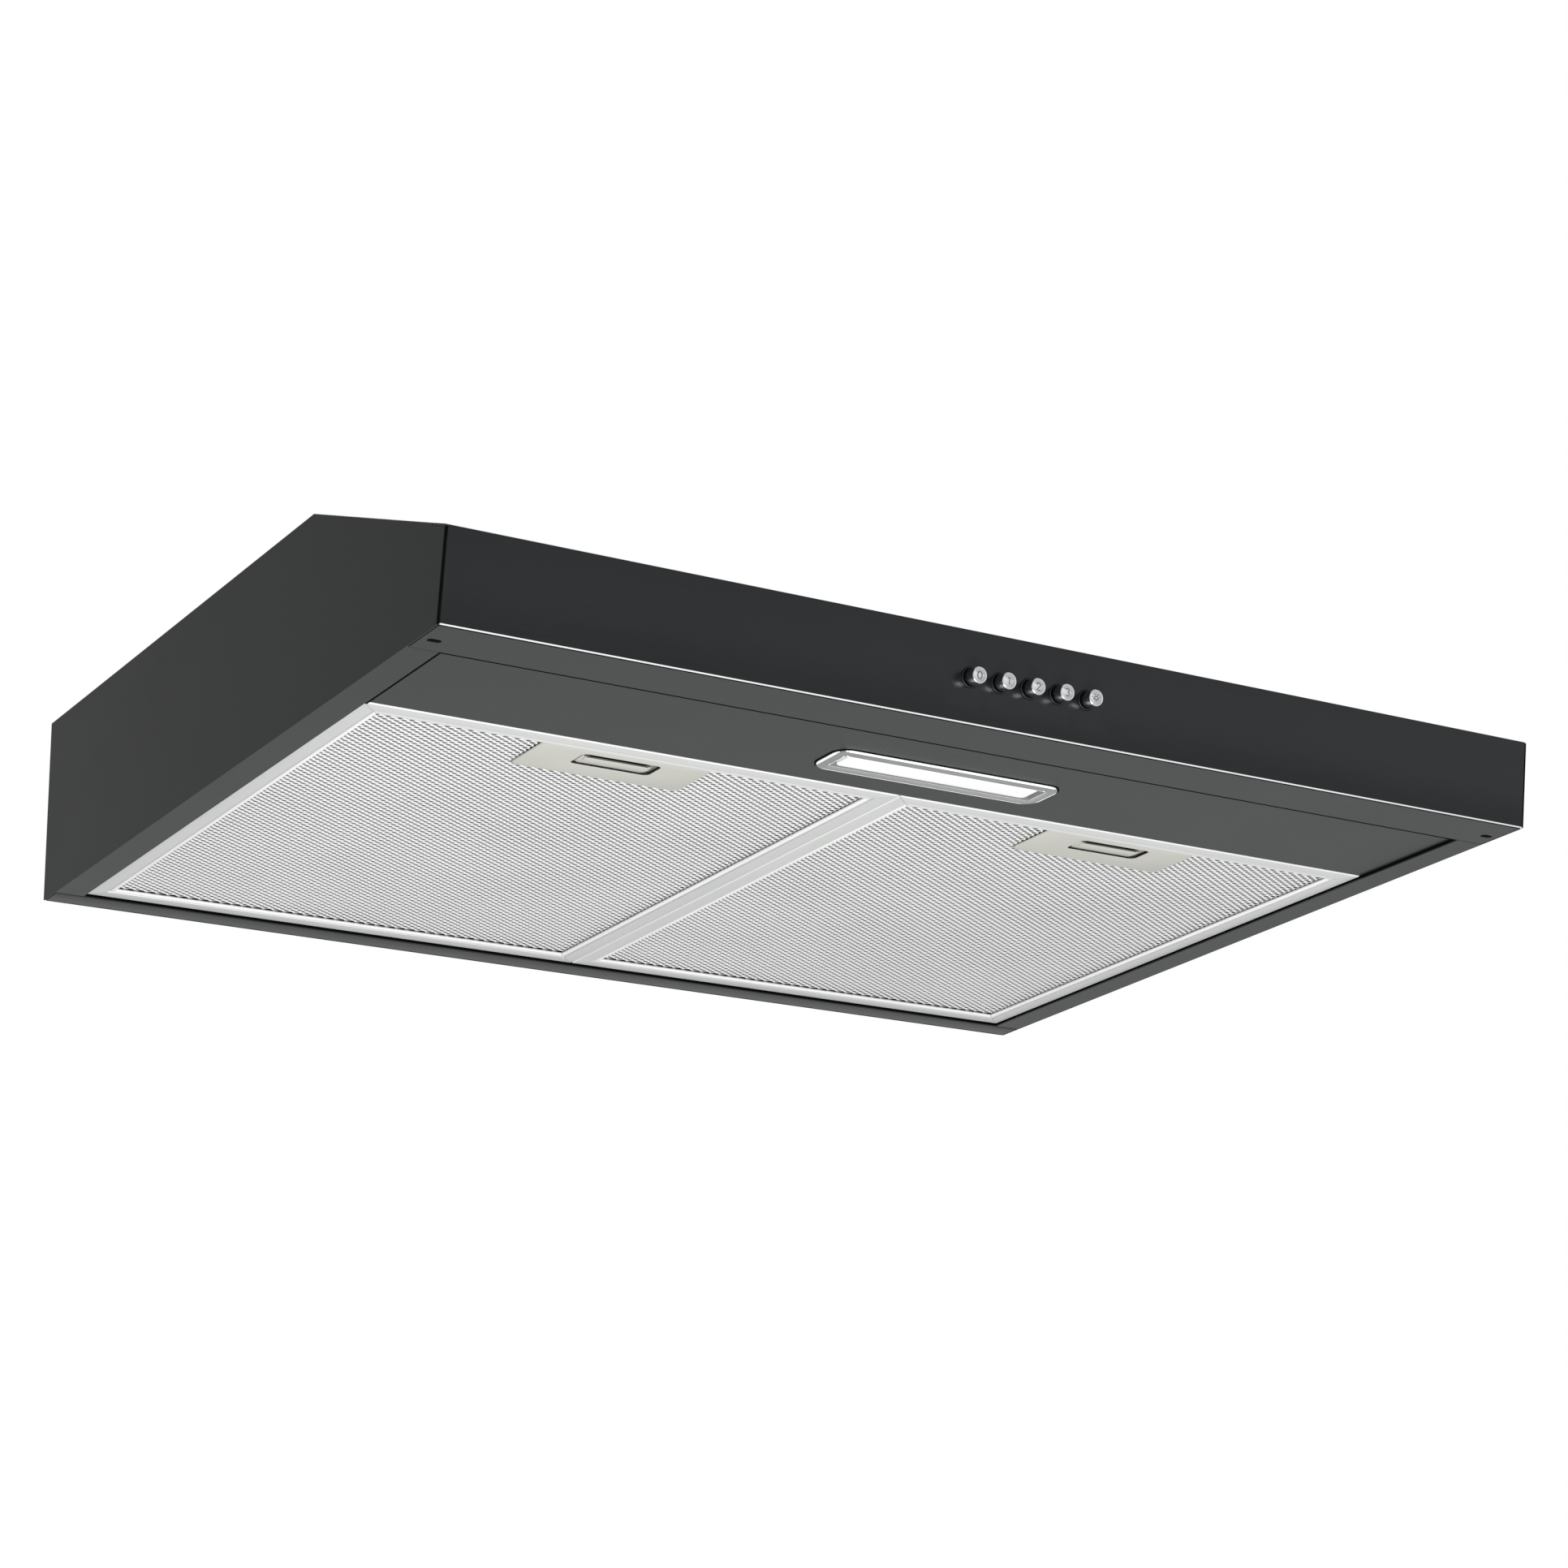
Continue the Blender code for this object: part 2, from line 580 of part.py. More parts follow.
def lamp():
    """Lamp panel, bezel, diffuser, board, housing and driver."""
    panel = box(-HALF + 5 * MM, HALF - 5 * MM, FRONT_RIM - 8 * MM, LAMP_PANEL_END, PANEL_LOW, PANEL_HIGH)
    nx = LAMP_WIDE / 2 - 4 * MM
    ny = LAMP_LONG / 2 - 4 * MM
    hole = rounded(-nx - 0.4 * MM, nx + 0.4 * MM, LAMP_Y - ny - 0.4 * MM, LAMP_Y + ny + 0.4 * MM, 4.4 * MM, 4)
    solid(
        "lamp_panel",
        "satin_dark_grey",
        BODY_GREY,
        panel,
        cut=[prism(hole, "Z", -3 * MM, 6 * MM)],
    )
    hx = LAMP_WIDE / 2
    hy = LAMP_LONG / 2
    rim = prism(rounded(-hx, hx, LAMP_Y - hy, LAMP_Y + hy, 8 * MM, 6), "Z", 0.2 * MM, PANEL_LOW - GAP)
    neck = prism(rounded(-nx, nx, LAMP_Y - ny, LAMP_Y + ny, 4 * MM, 4), "Z", 0.6 * MM, 6 * MM)
    lx = LENS_WIDE / 2
    ly = LENS_LONG / 2
    window = prism(rounded(-lx, lx, LAMP_Y - ly, LAMP_Y + ly, 3 * MM, 4), "Z", -2 * MM, 9 * MM)
    solid("lamp_bezel", "clear_grey_plastic", CLEAR_GREY, rim, add=[neck], cut=[window])
    ax = lx - 0.4 * MM
    ay = ly - 0.4 * MM
    plug = prism(rounded(-ax, ax, LAMP_Y - ay, LAMP_Y + ay, 2.6 * MM, 4), "Z", 0.5 * MM, 6.8 * MM)
    brim = box(-nx + MM, nx - MM, LAMP_Y - ny + MM, LAMP_Y + ny - MM, 6.3 * MM, 7.3 * MM)
    solid("lamp_diffuser", "frosted_diffuser", WHITE_PLASTIC, plug, add=[brim])
    board = box(-52 * MM, 52 * MM, LAMP_Y - 8 * MM, LAMP_Y + 8 * MM, 8.4 * MM, 9.8 * MM)
    chips = []
    for k in range(8):
        x = (k - 3.5) * 12.6 * MM
        chips.append(box(x - 1.8 * MM, x + 1.8 * MM, LAMP_Y - 1.8 * MM, LAMP_Y + 1.8 * MM, 7.7 * MM, 9 * MM))
    solid("led_board", "circuit_board", BOARD_GREEN, board, add=[merge(chips)])
    wall = 1.2 * MM
    cover = box(-hx - 3 * MM, hx + 3 * MM, LAMP_Y - hy, LAMP_Y + hy, PANEL_HIGH + GAP, 14 * MM)
    inside = box(
        -hx - 3 * MM + wall,
        hx + 3 * MM - wall,
        LAMP_Y - hy + wall,
        LAMP_Y + hy - wall,
        -3 * MM,
        14 * MM - wall,
    )
    solid("lamp_housing", "grey_plastic", GREY_PLASTIC, cover, cut=[inside])
    driver = box(140 * MM, 205 * MM, 50 * MM, 86 * MM, PANEL_HIGH + GAP, 21 * MM)
    ears = box(134 * MM, 211 * MM, 62 * MM, 74 * MM, PANEL_HIGH + GAP, PANEL_HIGH + GAP + 2 * MM)
    solid("led_driver", "white_plastic", WHITE_PLASTIC, driver, add=[ears])


# ---------------------------------------------------------------- controls

BUTTON_NAMES = ("off", "speed_1", "speed_2", "speed_3", "light")


def controls():
    """Five chromed push buttons in black bushes, and the switch bank behind them."""
    stem = BUTTON_STEM
    for label, x in zip(BUTTON_NAMES, button_spots()):
        place = into_fascia(x, BUTTON_UP)
        low = -BUTTON_PROUD
        edge = 0.5 * MM
        shoulder = -0.6 * MM
        profile = [(low, 0.0), (low, BUTTON_RADIUS - edge), (low + edge, BUTTON_RADIUS)]
        profile += [(shoulder, BUTTON_RADIUS), (shoulder, stem), (10.5 * MM, stem), (10.5 * MM, 0.0)]
        solid(
            "button_" + label,
            "chrome",
            CHROME,
            lathe(profile, 24, place, False),
            pivot=on_front(x, BUTTON_UP, 0.0),
        )
        outer = BUSH_RADIUS
        flange = outer + BUSH_FLANGE
        ring = [(-3.2 * MM, BUSH_BORE), (-3.2 * MM, outer - GAP), (-2.8 * MM, outer), (1.5 * MM, outer)]
        ring += [(1.5 * MM, flange), (3.0 * MM, flange), (3.0 * MM, BUSH_BORE)]
        solid("button_bush_" + label, "black_plastic", BLACK_PLASTIC, lathe(ring, 24, place, True))
    half = 49 * MM
    block = box(-half, half, 14.5 * MM, 28.5 * MM, 7 * MM, 25 * MM)
    posts = []
    for sign in (-1, 1):
        low_x, high_x = sorted((sign * 45 * MM, sign * half))
        posts.append(box(low_x, high_x, 17 * MM, 26 * MM, 1.5 * MM, 8 * MM))
    place = lambda p: on_front(p.x, p.y, p.z)
    sockets = [bar(into_fascia(x, BUTTON_UP), stem + 0.4 * MM, 5 * MM, 20 * MM, 16) for x in button_spots()]
    solid(
        "switch_bank",
        "black_plastic",
        BLACK_PLASTIC,
        moved(block, place),
        add=[moved(post, place) for post in posts],
        cut=[merge(sockets)],
    )


# ---------------------------------------------------------------- filters

def grease_filter(side, sign):
    """One aluminium grease filter with its latch, hinged at the rear."""
    centre = sign * FILTER_CENTRE
    x0 = centre - FILTER_HALF
    x1 = centre + FILTER_HALF
    z0 = FILTER_FLOOR
    z1 = FILTER_TOP
    hinge = Vector((centre, HINGE_Y, HINGE_Z))
    prefix = "filter_" + side
    profile = [(0.0, z0), (FILTER_RAIL, z0), (FILTER_RAIL, z0 + SHEET), (SHEET, z0 + SHEET)]
    profile += [(SHEET, z1 - SHEET), (FILTER_RAIL, z1 - SHEET), (FILTER_RAIL, z1), (0.0, z1)]
    ring = frame_sweep(x0, x1, FILTER_FRONT, FILTER_BACK, profile)
    tabs = []
    for shift in (-90 * MM, 90 * MM):
        x = centre + shift
        low = FILTER_FLOOR + 7.0 * MM
        tabs.append(box(x - 12 * MM, x + 12 * MM, FILTER_BACK - SHEET / 2, FILTER_BACK + 4.8 * MM, low, low + SHEET))
    slot = box(
        centre - TONGUE_HALF - MM,
        centre + TONGUE_HALF + MM,
        FILTER_FRONT - MM,
        FILTER_FRONT + 2 * MM,
        TONGUE_FLOOR - 0.4 * MM,
        TONGUE_FLOOR + TONGUE_THICK + 0.4 * MM,
    )
    solid(prefix + "_frame", "brushed_aluminium", ALUMINIUM, ring, add=tabs, cut=[slot], pivot=hinge)

    inset = SHEET + GAP
    pocket = LATCH_SLOT_WIDE / 2 + 2.2 * MM
    pocket_back = LATCH_SLOT_FRONT + LATCH_SLOT_LONG + 2.2 * MM
    notched = [(x0 + inset, FILTER_FRONT + inset), (centre - pocket, FILTER_FRONT + inset)]
    notched += [(centre - pocket, pocket_back), (centre + pocket, pocket_back)]
    notched += [(centre + pocket, FILTER_FRONT + inset), (x1 - inset, FILTER_FRONT + inset)]
    notched += [(x1 - inset, FILTER_BACK - inset), (x0 + inset, FILTER_BACK - inset)]
    lower = z0 + SHEET + GAP
    mesh = FILTER_MESH
    solid(
        prefix + "_lower_mesh",
        "expanded_aluminium",
        ALUMINIUM,
        prism(notched, "Z", lower, lower + mesh),
        pivot=hinge,
    )
    upper = z1 - SHEET - GAP - mesh
    middle = (z0 + z1) / 2
    solid(
        prefix + "_inner_layers",
        "expanded_aluminium",
        ALUMINIUM,
        prism(notched, "Z", middle - FILTER_LAYERS / 2, middle + FILTER_LAYERS / 2),
        pivot=hinge,
    )
    solid(
        prefix + "_upper_mesh",
        "expanded_aluminium",
        ALUMINIUM,
        box(x0 + inset, x1 - inset, FILTER_FRONT + inset, FILTER_BACK - inset, upper, upper + mesh),
        pivot=hinge,
    )

    half = LATCH_PLATE_WIDE / 2
    slot_half = LATCH_SLOT_WIDE / 2
    back = LATCH_FRONT + LATCH_PLATE_LONG
    slot_back = LATCH_SLOT_FRONT + LATCH_SLOT_LONG
    wall = 1.0 * MM
    roof = z0 + SHEET + LATCH_POCKET_DEEP
    plate = prism(rounded(centre - half, centre + half, LATCH_FRONT, back, 3 * MM, 4), "Z", z0, z0 + SHEET)
    shell = box(
        centre - slot_half - wall,
        centre + slot_half + wall,
        LATCH_SLOT_FRONT - wall,
        slot_back + wall,
        z0 + SHEET / 2,
        roof,
    )
    hollow = rounded(centre - slot_half, centre + slot_half, LATCH_SLOT_FRONT, slot_back, 3 * MM, 4)
    door = box(
        centre - TONGUE_HALF - 0.5 * MM,
        centre + TONGUE_HALF + 0.5 * MM,
        LATCH_SLOT_FRONT - 3 * MM,
        LATCH_SLOT_FRONT + 3 * MM,
        TONGUE_FLOOR - 0.4 * MM,
        TONGUE_FLOOR + TONGUE_THICK + 0.4 * MM,
    )
    solid(
        prefix + "_latch_plate",
        "latch_plastic",
        LATCH_GREY,
        plate,
        add=[shell],
        cut=[prism(hollow, "Z", -2 * MM, roof - wall), door],
        pivot=hinge,
    )

    lug_front = LATCH_SLOT_FRONT + 5.4 * MM
    lug_back = slot_back - LATCH_TRAVEL - 0.5 * MM
    tongue = box(
        centre - TONGUE_HALF,
        centre + TONGUE_HALF,
        FILTER_FRONT - 4.7 * MM,
        lug_back - MM,
        TONGUE_FLOOR,
        TONGUE_FLOOR + TONGUE_THICK,
    )
    lug = box(
        centre - 17 * MM,
        centre + 17 * MM,
        lug_front,
        lug_back,
        z0 + 0.5 * MM,
        TONGUE_FLOOR + TONGUE_THICK + 0.2 * MM,
    )
    solid(
        prefix + "_latch_slider",
        "latch_plastic",
        LATCH_GREY,
        lug,
        add=[tongue],
        pivot=Vector((centre, lug_front, TONGUE_FLOOR)),
    )


# ---------------------------------------------------------------- fan

def scroll_corners():
    """Middle line of the fan casing, from the front flange round to the rear flange."""
    top = HEIGHT - SHEET - 2.4 * MM
    corners = [(FAN_Y - 67 * MM, top), (FAN_Y - 45 * MM, top)]
    steps = 12
    for k in range(steps + 1):
        turn = math.radians(150 + 210 * k / steps)
        reach = SCROLL_START + (SCROLL_END - SCROLL_START) * k / steps
        corners.append((FAN_Y + reach * math.cos(turn), FAN_Z + reach * math.sin(turn)))
    corners += [(FAN_Y + 43 * MM, top), (FAN_Y + 65 * MM, top)]
    return corners


def casing_screw_spots():
    """Four screws through the casing flanges into the top panel."""
    return [(x, y) for x in (-80 * MM, 80 * MM) for y in (FAN_Y - 60 * MM, FAN_Y + 58 * MM)]


def grown(corners, amount):
    """Scroll outline below the flanges, offset outward (or inward) and closed across the top."""
    top = HEIGHT - SHEET - 4.4 * MM
    moved_path = [p - n * amount for p, n in bend_path(corners[1:-1], 1.5 * MM, 2)]
    outline = []
    for one, two in zip(moved_path[:-1], moved_path[1:]):
        if one.y <= top:
            outline.append((one.x, one.y))
        if (one.y > top) != (two.y > top):
            share = (top - one.y) / (two.y - one.y)
            outline.append((one.x + (two.x - one.x) * share, top))
    if moved_path[-1].y <= top:
        outline.append((moved_path[-1].x, moved_path[-1].y))
    return outline


def fan():
    """Fan casing, end plates, partitions, motor, shaft and two impellers."""
    corners = scroll_corners()
    shell = prism(strip(bend_path(corners, 1.5 * MM, 2), 1.2 * MM), "X", -CASING_HALF, CASING_HALF)
    screw_holes = [bar(along_z(x, y), 1.8 * MM, 85 * MM, 96 * MM, 12) for x, y in casing_screw_spots()]
    solid("fan_casing", "galvanised_sheet", GALVANISED, shell, cut=[merge(screw_holes)])
    axis = along_x(FAN_Y, FAN_Z)
    for side, sign in (("left", -1), ("right", 1)):
        low_x, high_x = sorted((sign * (CASING_HALF + GAP), sign * (CASING_HALF + GAP + 1.2 * MM)))
        plate = prism(grown(corners, 3 * MM), "X", low_x, high_x)
        inlet = bar(axis, 25 * MM, low_x - 5 * MM, high_x + 5 * MM, 32)
        solid("fan_inlet_plate_" + side, "galvanised_sheet", GALVANISED, plate, cut=[inlet])
        low_x, high_x = sorted((sign * (MOTOR_HALF + 2.5 * MM), sign * (MOTOR_HALF + 3.7 * MM)))
        wall = prism(grown(corners, -1.4 * MM), "X", low_x, high_x)
        hole = bar(axis, 12 * MM, low_x - 5 * MM, high_x + 5 * MM, 24)
        solid("motor_support_" + side, "galvanised_sheet", GALVANISED, wall, cut=[hole])
    bore = SHAFT_RADIUS + GAP
    end = MOTOR_HALF
    body = [(-end - 2 * MM, bore), (-end - 2 * MM, 10 * MM), (-end, 10 * MM), (-end, 20 * MM)]
    body += [(-end + 5 * MM, MOTOR_RADIUS), (end - 5 * MM, MOTOR_RADIUS), (end, 20 * MM)]
    body += [(end, 10 * MM), (end + 2 * MM, 10 * MM), (end + 2 * MM, bore)]
    solid("fan_motor", "motor_enamel", MOTOR_DARK, lathe(body, 32, axis, True))
    hub = Vector((0.0, FAN_Y, FAN_Z))
    shaft_end = IMPELLER_IN + IMPELLER_BOSS + MM
    solid("fan_shaft", "steel", STEEL, bar(axis, SHAFT_RADIUS, -shaft_end, shaft_end, 16), pivot=hub)
    for side, sign in (("left", -1), ("right", 1)):
        impeller("impeller_" + side, sign, bore, hub)


def impeller(name, sign, bore, hub):
    """Squirrel cage impeller: hub disc, end ring and forward leaning blades."""
    inner = IMPELLER_RADIUS - 5 * MM
    axis = along_x(FAN_Y, FAN_Z)
    disc = [(IMPELLER_IN, bore), (IMPELLER_IN, IMPELLER_RADIUS), (IMPELLER_IN + 2 * MM, IMPELLER_RADIUS)]
    disc += [(IMPELLER_IN + 2 * MM, 9 * MM), (IMPELLER_IN + IMPELLER_BOSS, 8 * MM)]
    disc += [(IMPELLER_IN + IMPELLER_BOSS, bore)]
    ring = tube(axis, inner, IMPELLER_RADIUS, IMPELLER_OUT - 2 * MM, IMPELLER_OUT, 40)
    blades = []
    count = 20
    for k in range(count):
        turn = math.tau * (k + 0.25) / count
        ahead = turn + math.radians(9)
        foot = Vector((math.cos(turn), math.sin(turn))) * (inner + 0.4 * MM)
        tip = Vector((math.cos(ahead), math.sin(ahead))) * (IMPELLER_RADIUS - 0.4 * MM)
        run = (tip - foot).normalized()
        side = Vector((-run.y, run.x)) * 0.5 * MM
        outline = []
        for point in (foot - side, tip - side, tip + side, foot + side):
            outline.append((FAN_Y + point.x, FAN_Z + point.y))
        blades.append(prism(outline, "X", IMPELLER_IN + MM, IMPELLER_OUT - MM))
    base = merge([lathe(disc, 40, axis, True), ring])
    cage = merge(blades)
    if sign < 0:
        base = mirrored(base)
        cage = mirrored(cage)
    solid(name, "black_plastic", BLACK_PLASTIC, base, add=[cage], pivot=hub)


def outlet():
    """Duct collar with its pin and two non-return flaps."""
    low = HEIGHT - SHEET - GAP - 1.2 * MM
    inner = DUCT_RADIUS - DUCT_WALL
    outer = DUCT_RADIUS
    rim = HEIGHT + DUCT_RISE
    profile = [(low, inner), (low, outer + 7 * MM), (low + 1.2 * MM, outer + 7 * MM)]
    profile += [(low + 1.2 * MM, outer), (rim, outer), (rim, inner)]
    solid("duct_collar", "black_plastic", BLACK_PLASTIC, lathe(profile, 48, along_z(0.0, FAN_Y), True))
    pin_half = inner - GAP
    pin = bar(along_y(0.0, FLAP_Z), 1.5 * MM, FAN_Y - pin_half, FAN_Y + pin_half, 12)
    solid("flap_pin", "steel", STEEL, pin)
    radius = inner - 1.5 * MM
    start = 3.8 * MM
    edge = math.asin(start / radius)
    half_disc = []
    for k in range(21):
        turn = -math.pi / 2 + edge + (math.pi - 2 * edge) * k / 20
        half_disc.append((radius * math.cos(turn), FAN_Y + radius * math.sin(turn)))
    thick = 1.0 * MM
    knuckles = {"left": ((-42, -15), (15, 42)), "right": ((-13, 13),)}
    for side, sign in (("left", -1), ("right", 1)):
        leaf = prism(half_disc, "Z", FLAP_Z - thick / 2, FLAP_Z + thick / 2)
        webs = []
        rolls = []
        for low_y, high_y in knuckles[side]:
            y0 = FAN_Y + low_y * MM
            y1 = FAN_Y + high_y * MM
            webs.append(box(2.2 * MM, start + MM, y0, y1, FLAP_Z - thick / 2, FLAP_Z + thick / 2))
            rolls.append(tube(along_y(0.0, FLAP_Z), 1.8 * MM, 3.1 * MM, y0, y1, 12))
        pieces = [merge(rolls), merge(webs)]
        if sign < 0:
            leaf = mirrored(leaf)
            pieces = [mirrored(piece) for piece in pieces]
        solid(
            "duct_flap_" + side,
            "grey_plastic",
            GREY_PLASTIC,
            leaf,
            add=pieces,
            pivot=Vector((0.0, FAN_Y, FLAP_Z)),
        )


# ---------------------------------------------------------------- electrics and screws

def electrics():
    """Capacitor, terminal box, its cover and the cable grommet."""
    top = HEIGHT - SHEET - GAP
    profile = [(52 * MM, 0.0), (52 * MM, 12 * MM), (54 * MM, 14 * MM), (92 * MM, 14 * MM)]
    profile += [(92 * MM, 5 * MM), (top, 5 * MM), (top, 0.0)]
    solid("capacitor", "white_plastic", WHITE_PLASTIC, lathe(profile, 24, along_z(150 * MM, FAN_Y - 15 * MM), False))
    x0, x1 = 190 * MM, 260 * MM
    y0, y1 = DEPTH - 75 * MM, DEPTH - 18 * MM
    wall = 1.5 * MM
    shell = box(x0, x1, y0, y1, 66 * MM, top)
    hollow = box(x0 + wall, x1 - wall, y0 + wall, y1 - wall, 60 * MM, top - wall)
    entry = bar(along_y(GROMMET_X, GROMMET_Z), 4.5 * MM, y1 - 5 * MM, y1 + 5 * MM, 16)
    solid("terminal_box", "black_plastic", BLACK_PLASTIC, shell, cut=[hollow, entry])
    cover = box(x0, x1, y0, y1, 66 * MM - GAP - wall, 66 * MM - GAP)
    solid("terminal_box_cover", "black_plastic", BLACK_PLASTIC, cover)
    back = DEPTH - SHEET
    ring = [(back - 4 * MM, 3.5 * MM), (back - 4 * MM, 9 * MM), (back - GAP, 9 * MM)]
    ring += [(back - GAP, 5.7 * MM), (DEPTH - 0.2 * MM, 5.7 * MM), (DEPTH - 0.2 * MM, 3.5 * MM)]
    solid("cable_grommet", "black_plastic", BLACK_PLASTIC, lathe(ring, 24, along_y(GROMMET_X, GROMMET_Z), True))


def screws():
    """Four pan head screws holding the fan casing up to the top panel."""
    under = HEIGHT - SHEET - 3.0 * MM
    for number, (x, y) in enumerate(casing_screw_spots(), start=1):
        head = under - GAP
        profile = [(head - 2.4 * MM, 0.0), (head - 2.4 * MM, 2.2 * MM), (head - 1.6 * MM, 3.4 * MM)]
        profile += [(head, 3.4 * MM), (head, 1.5 * MM), (HEIGHT - 0.2 * MM, 1.5 * MM), (HEIGHT - 0.2 * MM, 0.0)]
        solid("fan_screw_%d" % number, "steel", STEEL, lathe(profile, 12, along_z(x, y), False))


side_panel("left_side_panel", False)
side_panel("right_side_panel", True)
top_panel()
slope_panel()
back_panel()
fascia()
front_rim()
rear_rail()
catch_ledge()
lamp()
controls()
grease_filter("left", -1)
grease_filter("right", 1)
fan()
outlet()
electrics()
screws()
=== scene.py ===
"""Visual model of a 600 mm under cabinet range hood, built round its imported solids.

Lengths are metres.  +X runs to the right seen from the front, +Y towards the wall and +Z up.
The origin is the cabinet mount on the top panel.
"""
import json
import logging
import math
from dataclasses import dataclass, field
from enum import Enum
from typing import Callable, Iterable, Optional, Sequence

import bmesh
import bpy
import numpy as np
from mathutils import Matrix, Vector


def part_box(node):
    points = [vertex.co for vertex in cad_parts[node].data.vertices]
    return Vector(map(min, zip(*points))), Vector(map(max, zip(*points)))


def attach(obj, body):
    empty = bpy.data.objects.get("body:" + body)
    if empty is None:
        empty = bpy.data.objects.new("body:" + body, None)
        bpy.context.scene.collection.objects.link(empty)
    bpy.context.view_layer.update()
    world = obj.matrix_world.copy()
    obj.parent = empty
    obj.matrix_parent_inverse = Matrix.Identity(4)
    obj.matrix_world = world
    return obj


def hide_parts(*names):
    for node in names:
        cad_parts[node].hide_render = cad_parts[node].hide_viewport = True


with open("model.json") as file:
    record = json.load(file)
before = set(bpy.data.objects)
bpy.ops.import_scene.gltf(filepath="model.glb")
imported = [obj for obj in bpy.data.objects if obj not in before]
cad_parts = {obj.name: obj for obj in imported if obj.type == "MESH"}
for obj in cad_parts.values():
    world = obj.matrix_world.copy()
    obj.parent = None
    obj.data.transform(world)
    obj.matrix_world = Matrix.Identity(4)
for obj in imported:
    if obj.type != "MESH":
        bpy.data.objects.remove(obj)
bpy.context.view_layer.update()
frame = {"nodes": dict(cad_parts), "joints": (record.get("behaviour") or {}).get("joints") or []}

logging.basicConfig(level=logging.INFO, format="%(message)s")
LOG = logging.getLogger("range_hood")

MM = 0.001
DRIFT = 60 * MM             # size of the slow change of tone
COAT_ROUGHNESS = 0.08
WIPING = (6.0, 1.0, 2.0)    # how far the wiping marks of a polished finish run along x, y and z
SHARP = 35.0                # edges sharper than this many degrees stay sharp
AXIS = 0.02 * MM            # radius at which a turned shape is closed on its axis
Colour = tuple[float, float, float]
Socket = bpy.types.NodeSocket


# ----------------------------------------------------------------------------- finishes

class Pattern(Enum):
    """What the surface of a finish looks like close up."""

    PEEL = "sprayed paint with a fine orange peel"
    BRUSHED = "fine lines along one direction"
    SPANGLE = "crystal flowers of hot dipped zinc"
    MOULDED = "fine sand grain of a mould"
    POLISHED = "mirror with faint wiping marks"
    FOIL = "thin rolled foil, lightly creased"


@dataclass(frozen=True)
class Finish:
    """One surface finish.

    Attributes:
        name: material name.
        colour: main colour, linear.
        tint: colour it drifts towards, linear.
        pattern: close up character.
        metallic: metal share of the shader.
        rough: lowest and highest roughness.
        grain: size of the close up pattern in metres.
        relief: strength of its bump.
        stretch: how far the pattern is drawn out along x, y and z.
        coat: clear coat weight.
        glow: emission strength in the main colour.
        shine: specular level.
        tint_of_shine: colour of the reflection seen square on.
    """

    name: str
    colour: Colour
    tint: Colour
    pattern: Pattern
    metallic: float = 0.0
    rough: tuple[float, float] = (0.35, 0.45)
    grain: float = 0.0008
    relief: float = 0.1
    stretch: tuple[float, float, float] = (1.0, 1.0, 1.0)
    coat: float = 0.0
    glow: float = 0.0
    shine: float = 0.5
    tint_of_shine: Colour = (1.0, 1.0, 1.0)

    def material(self) -> bpy.types.Material:
        """Return the material, building its nodes the first time."""
        made = bpy.data.materials.get(self.name)
        if made is None:
            made = FinishNodes(self).material
        return made


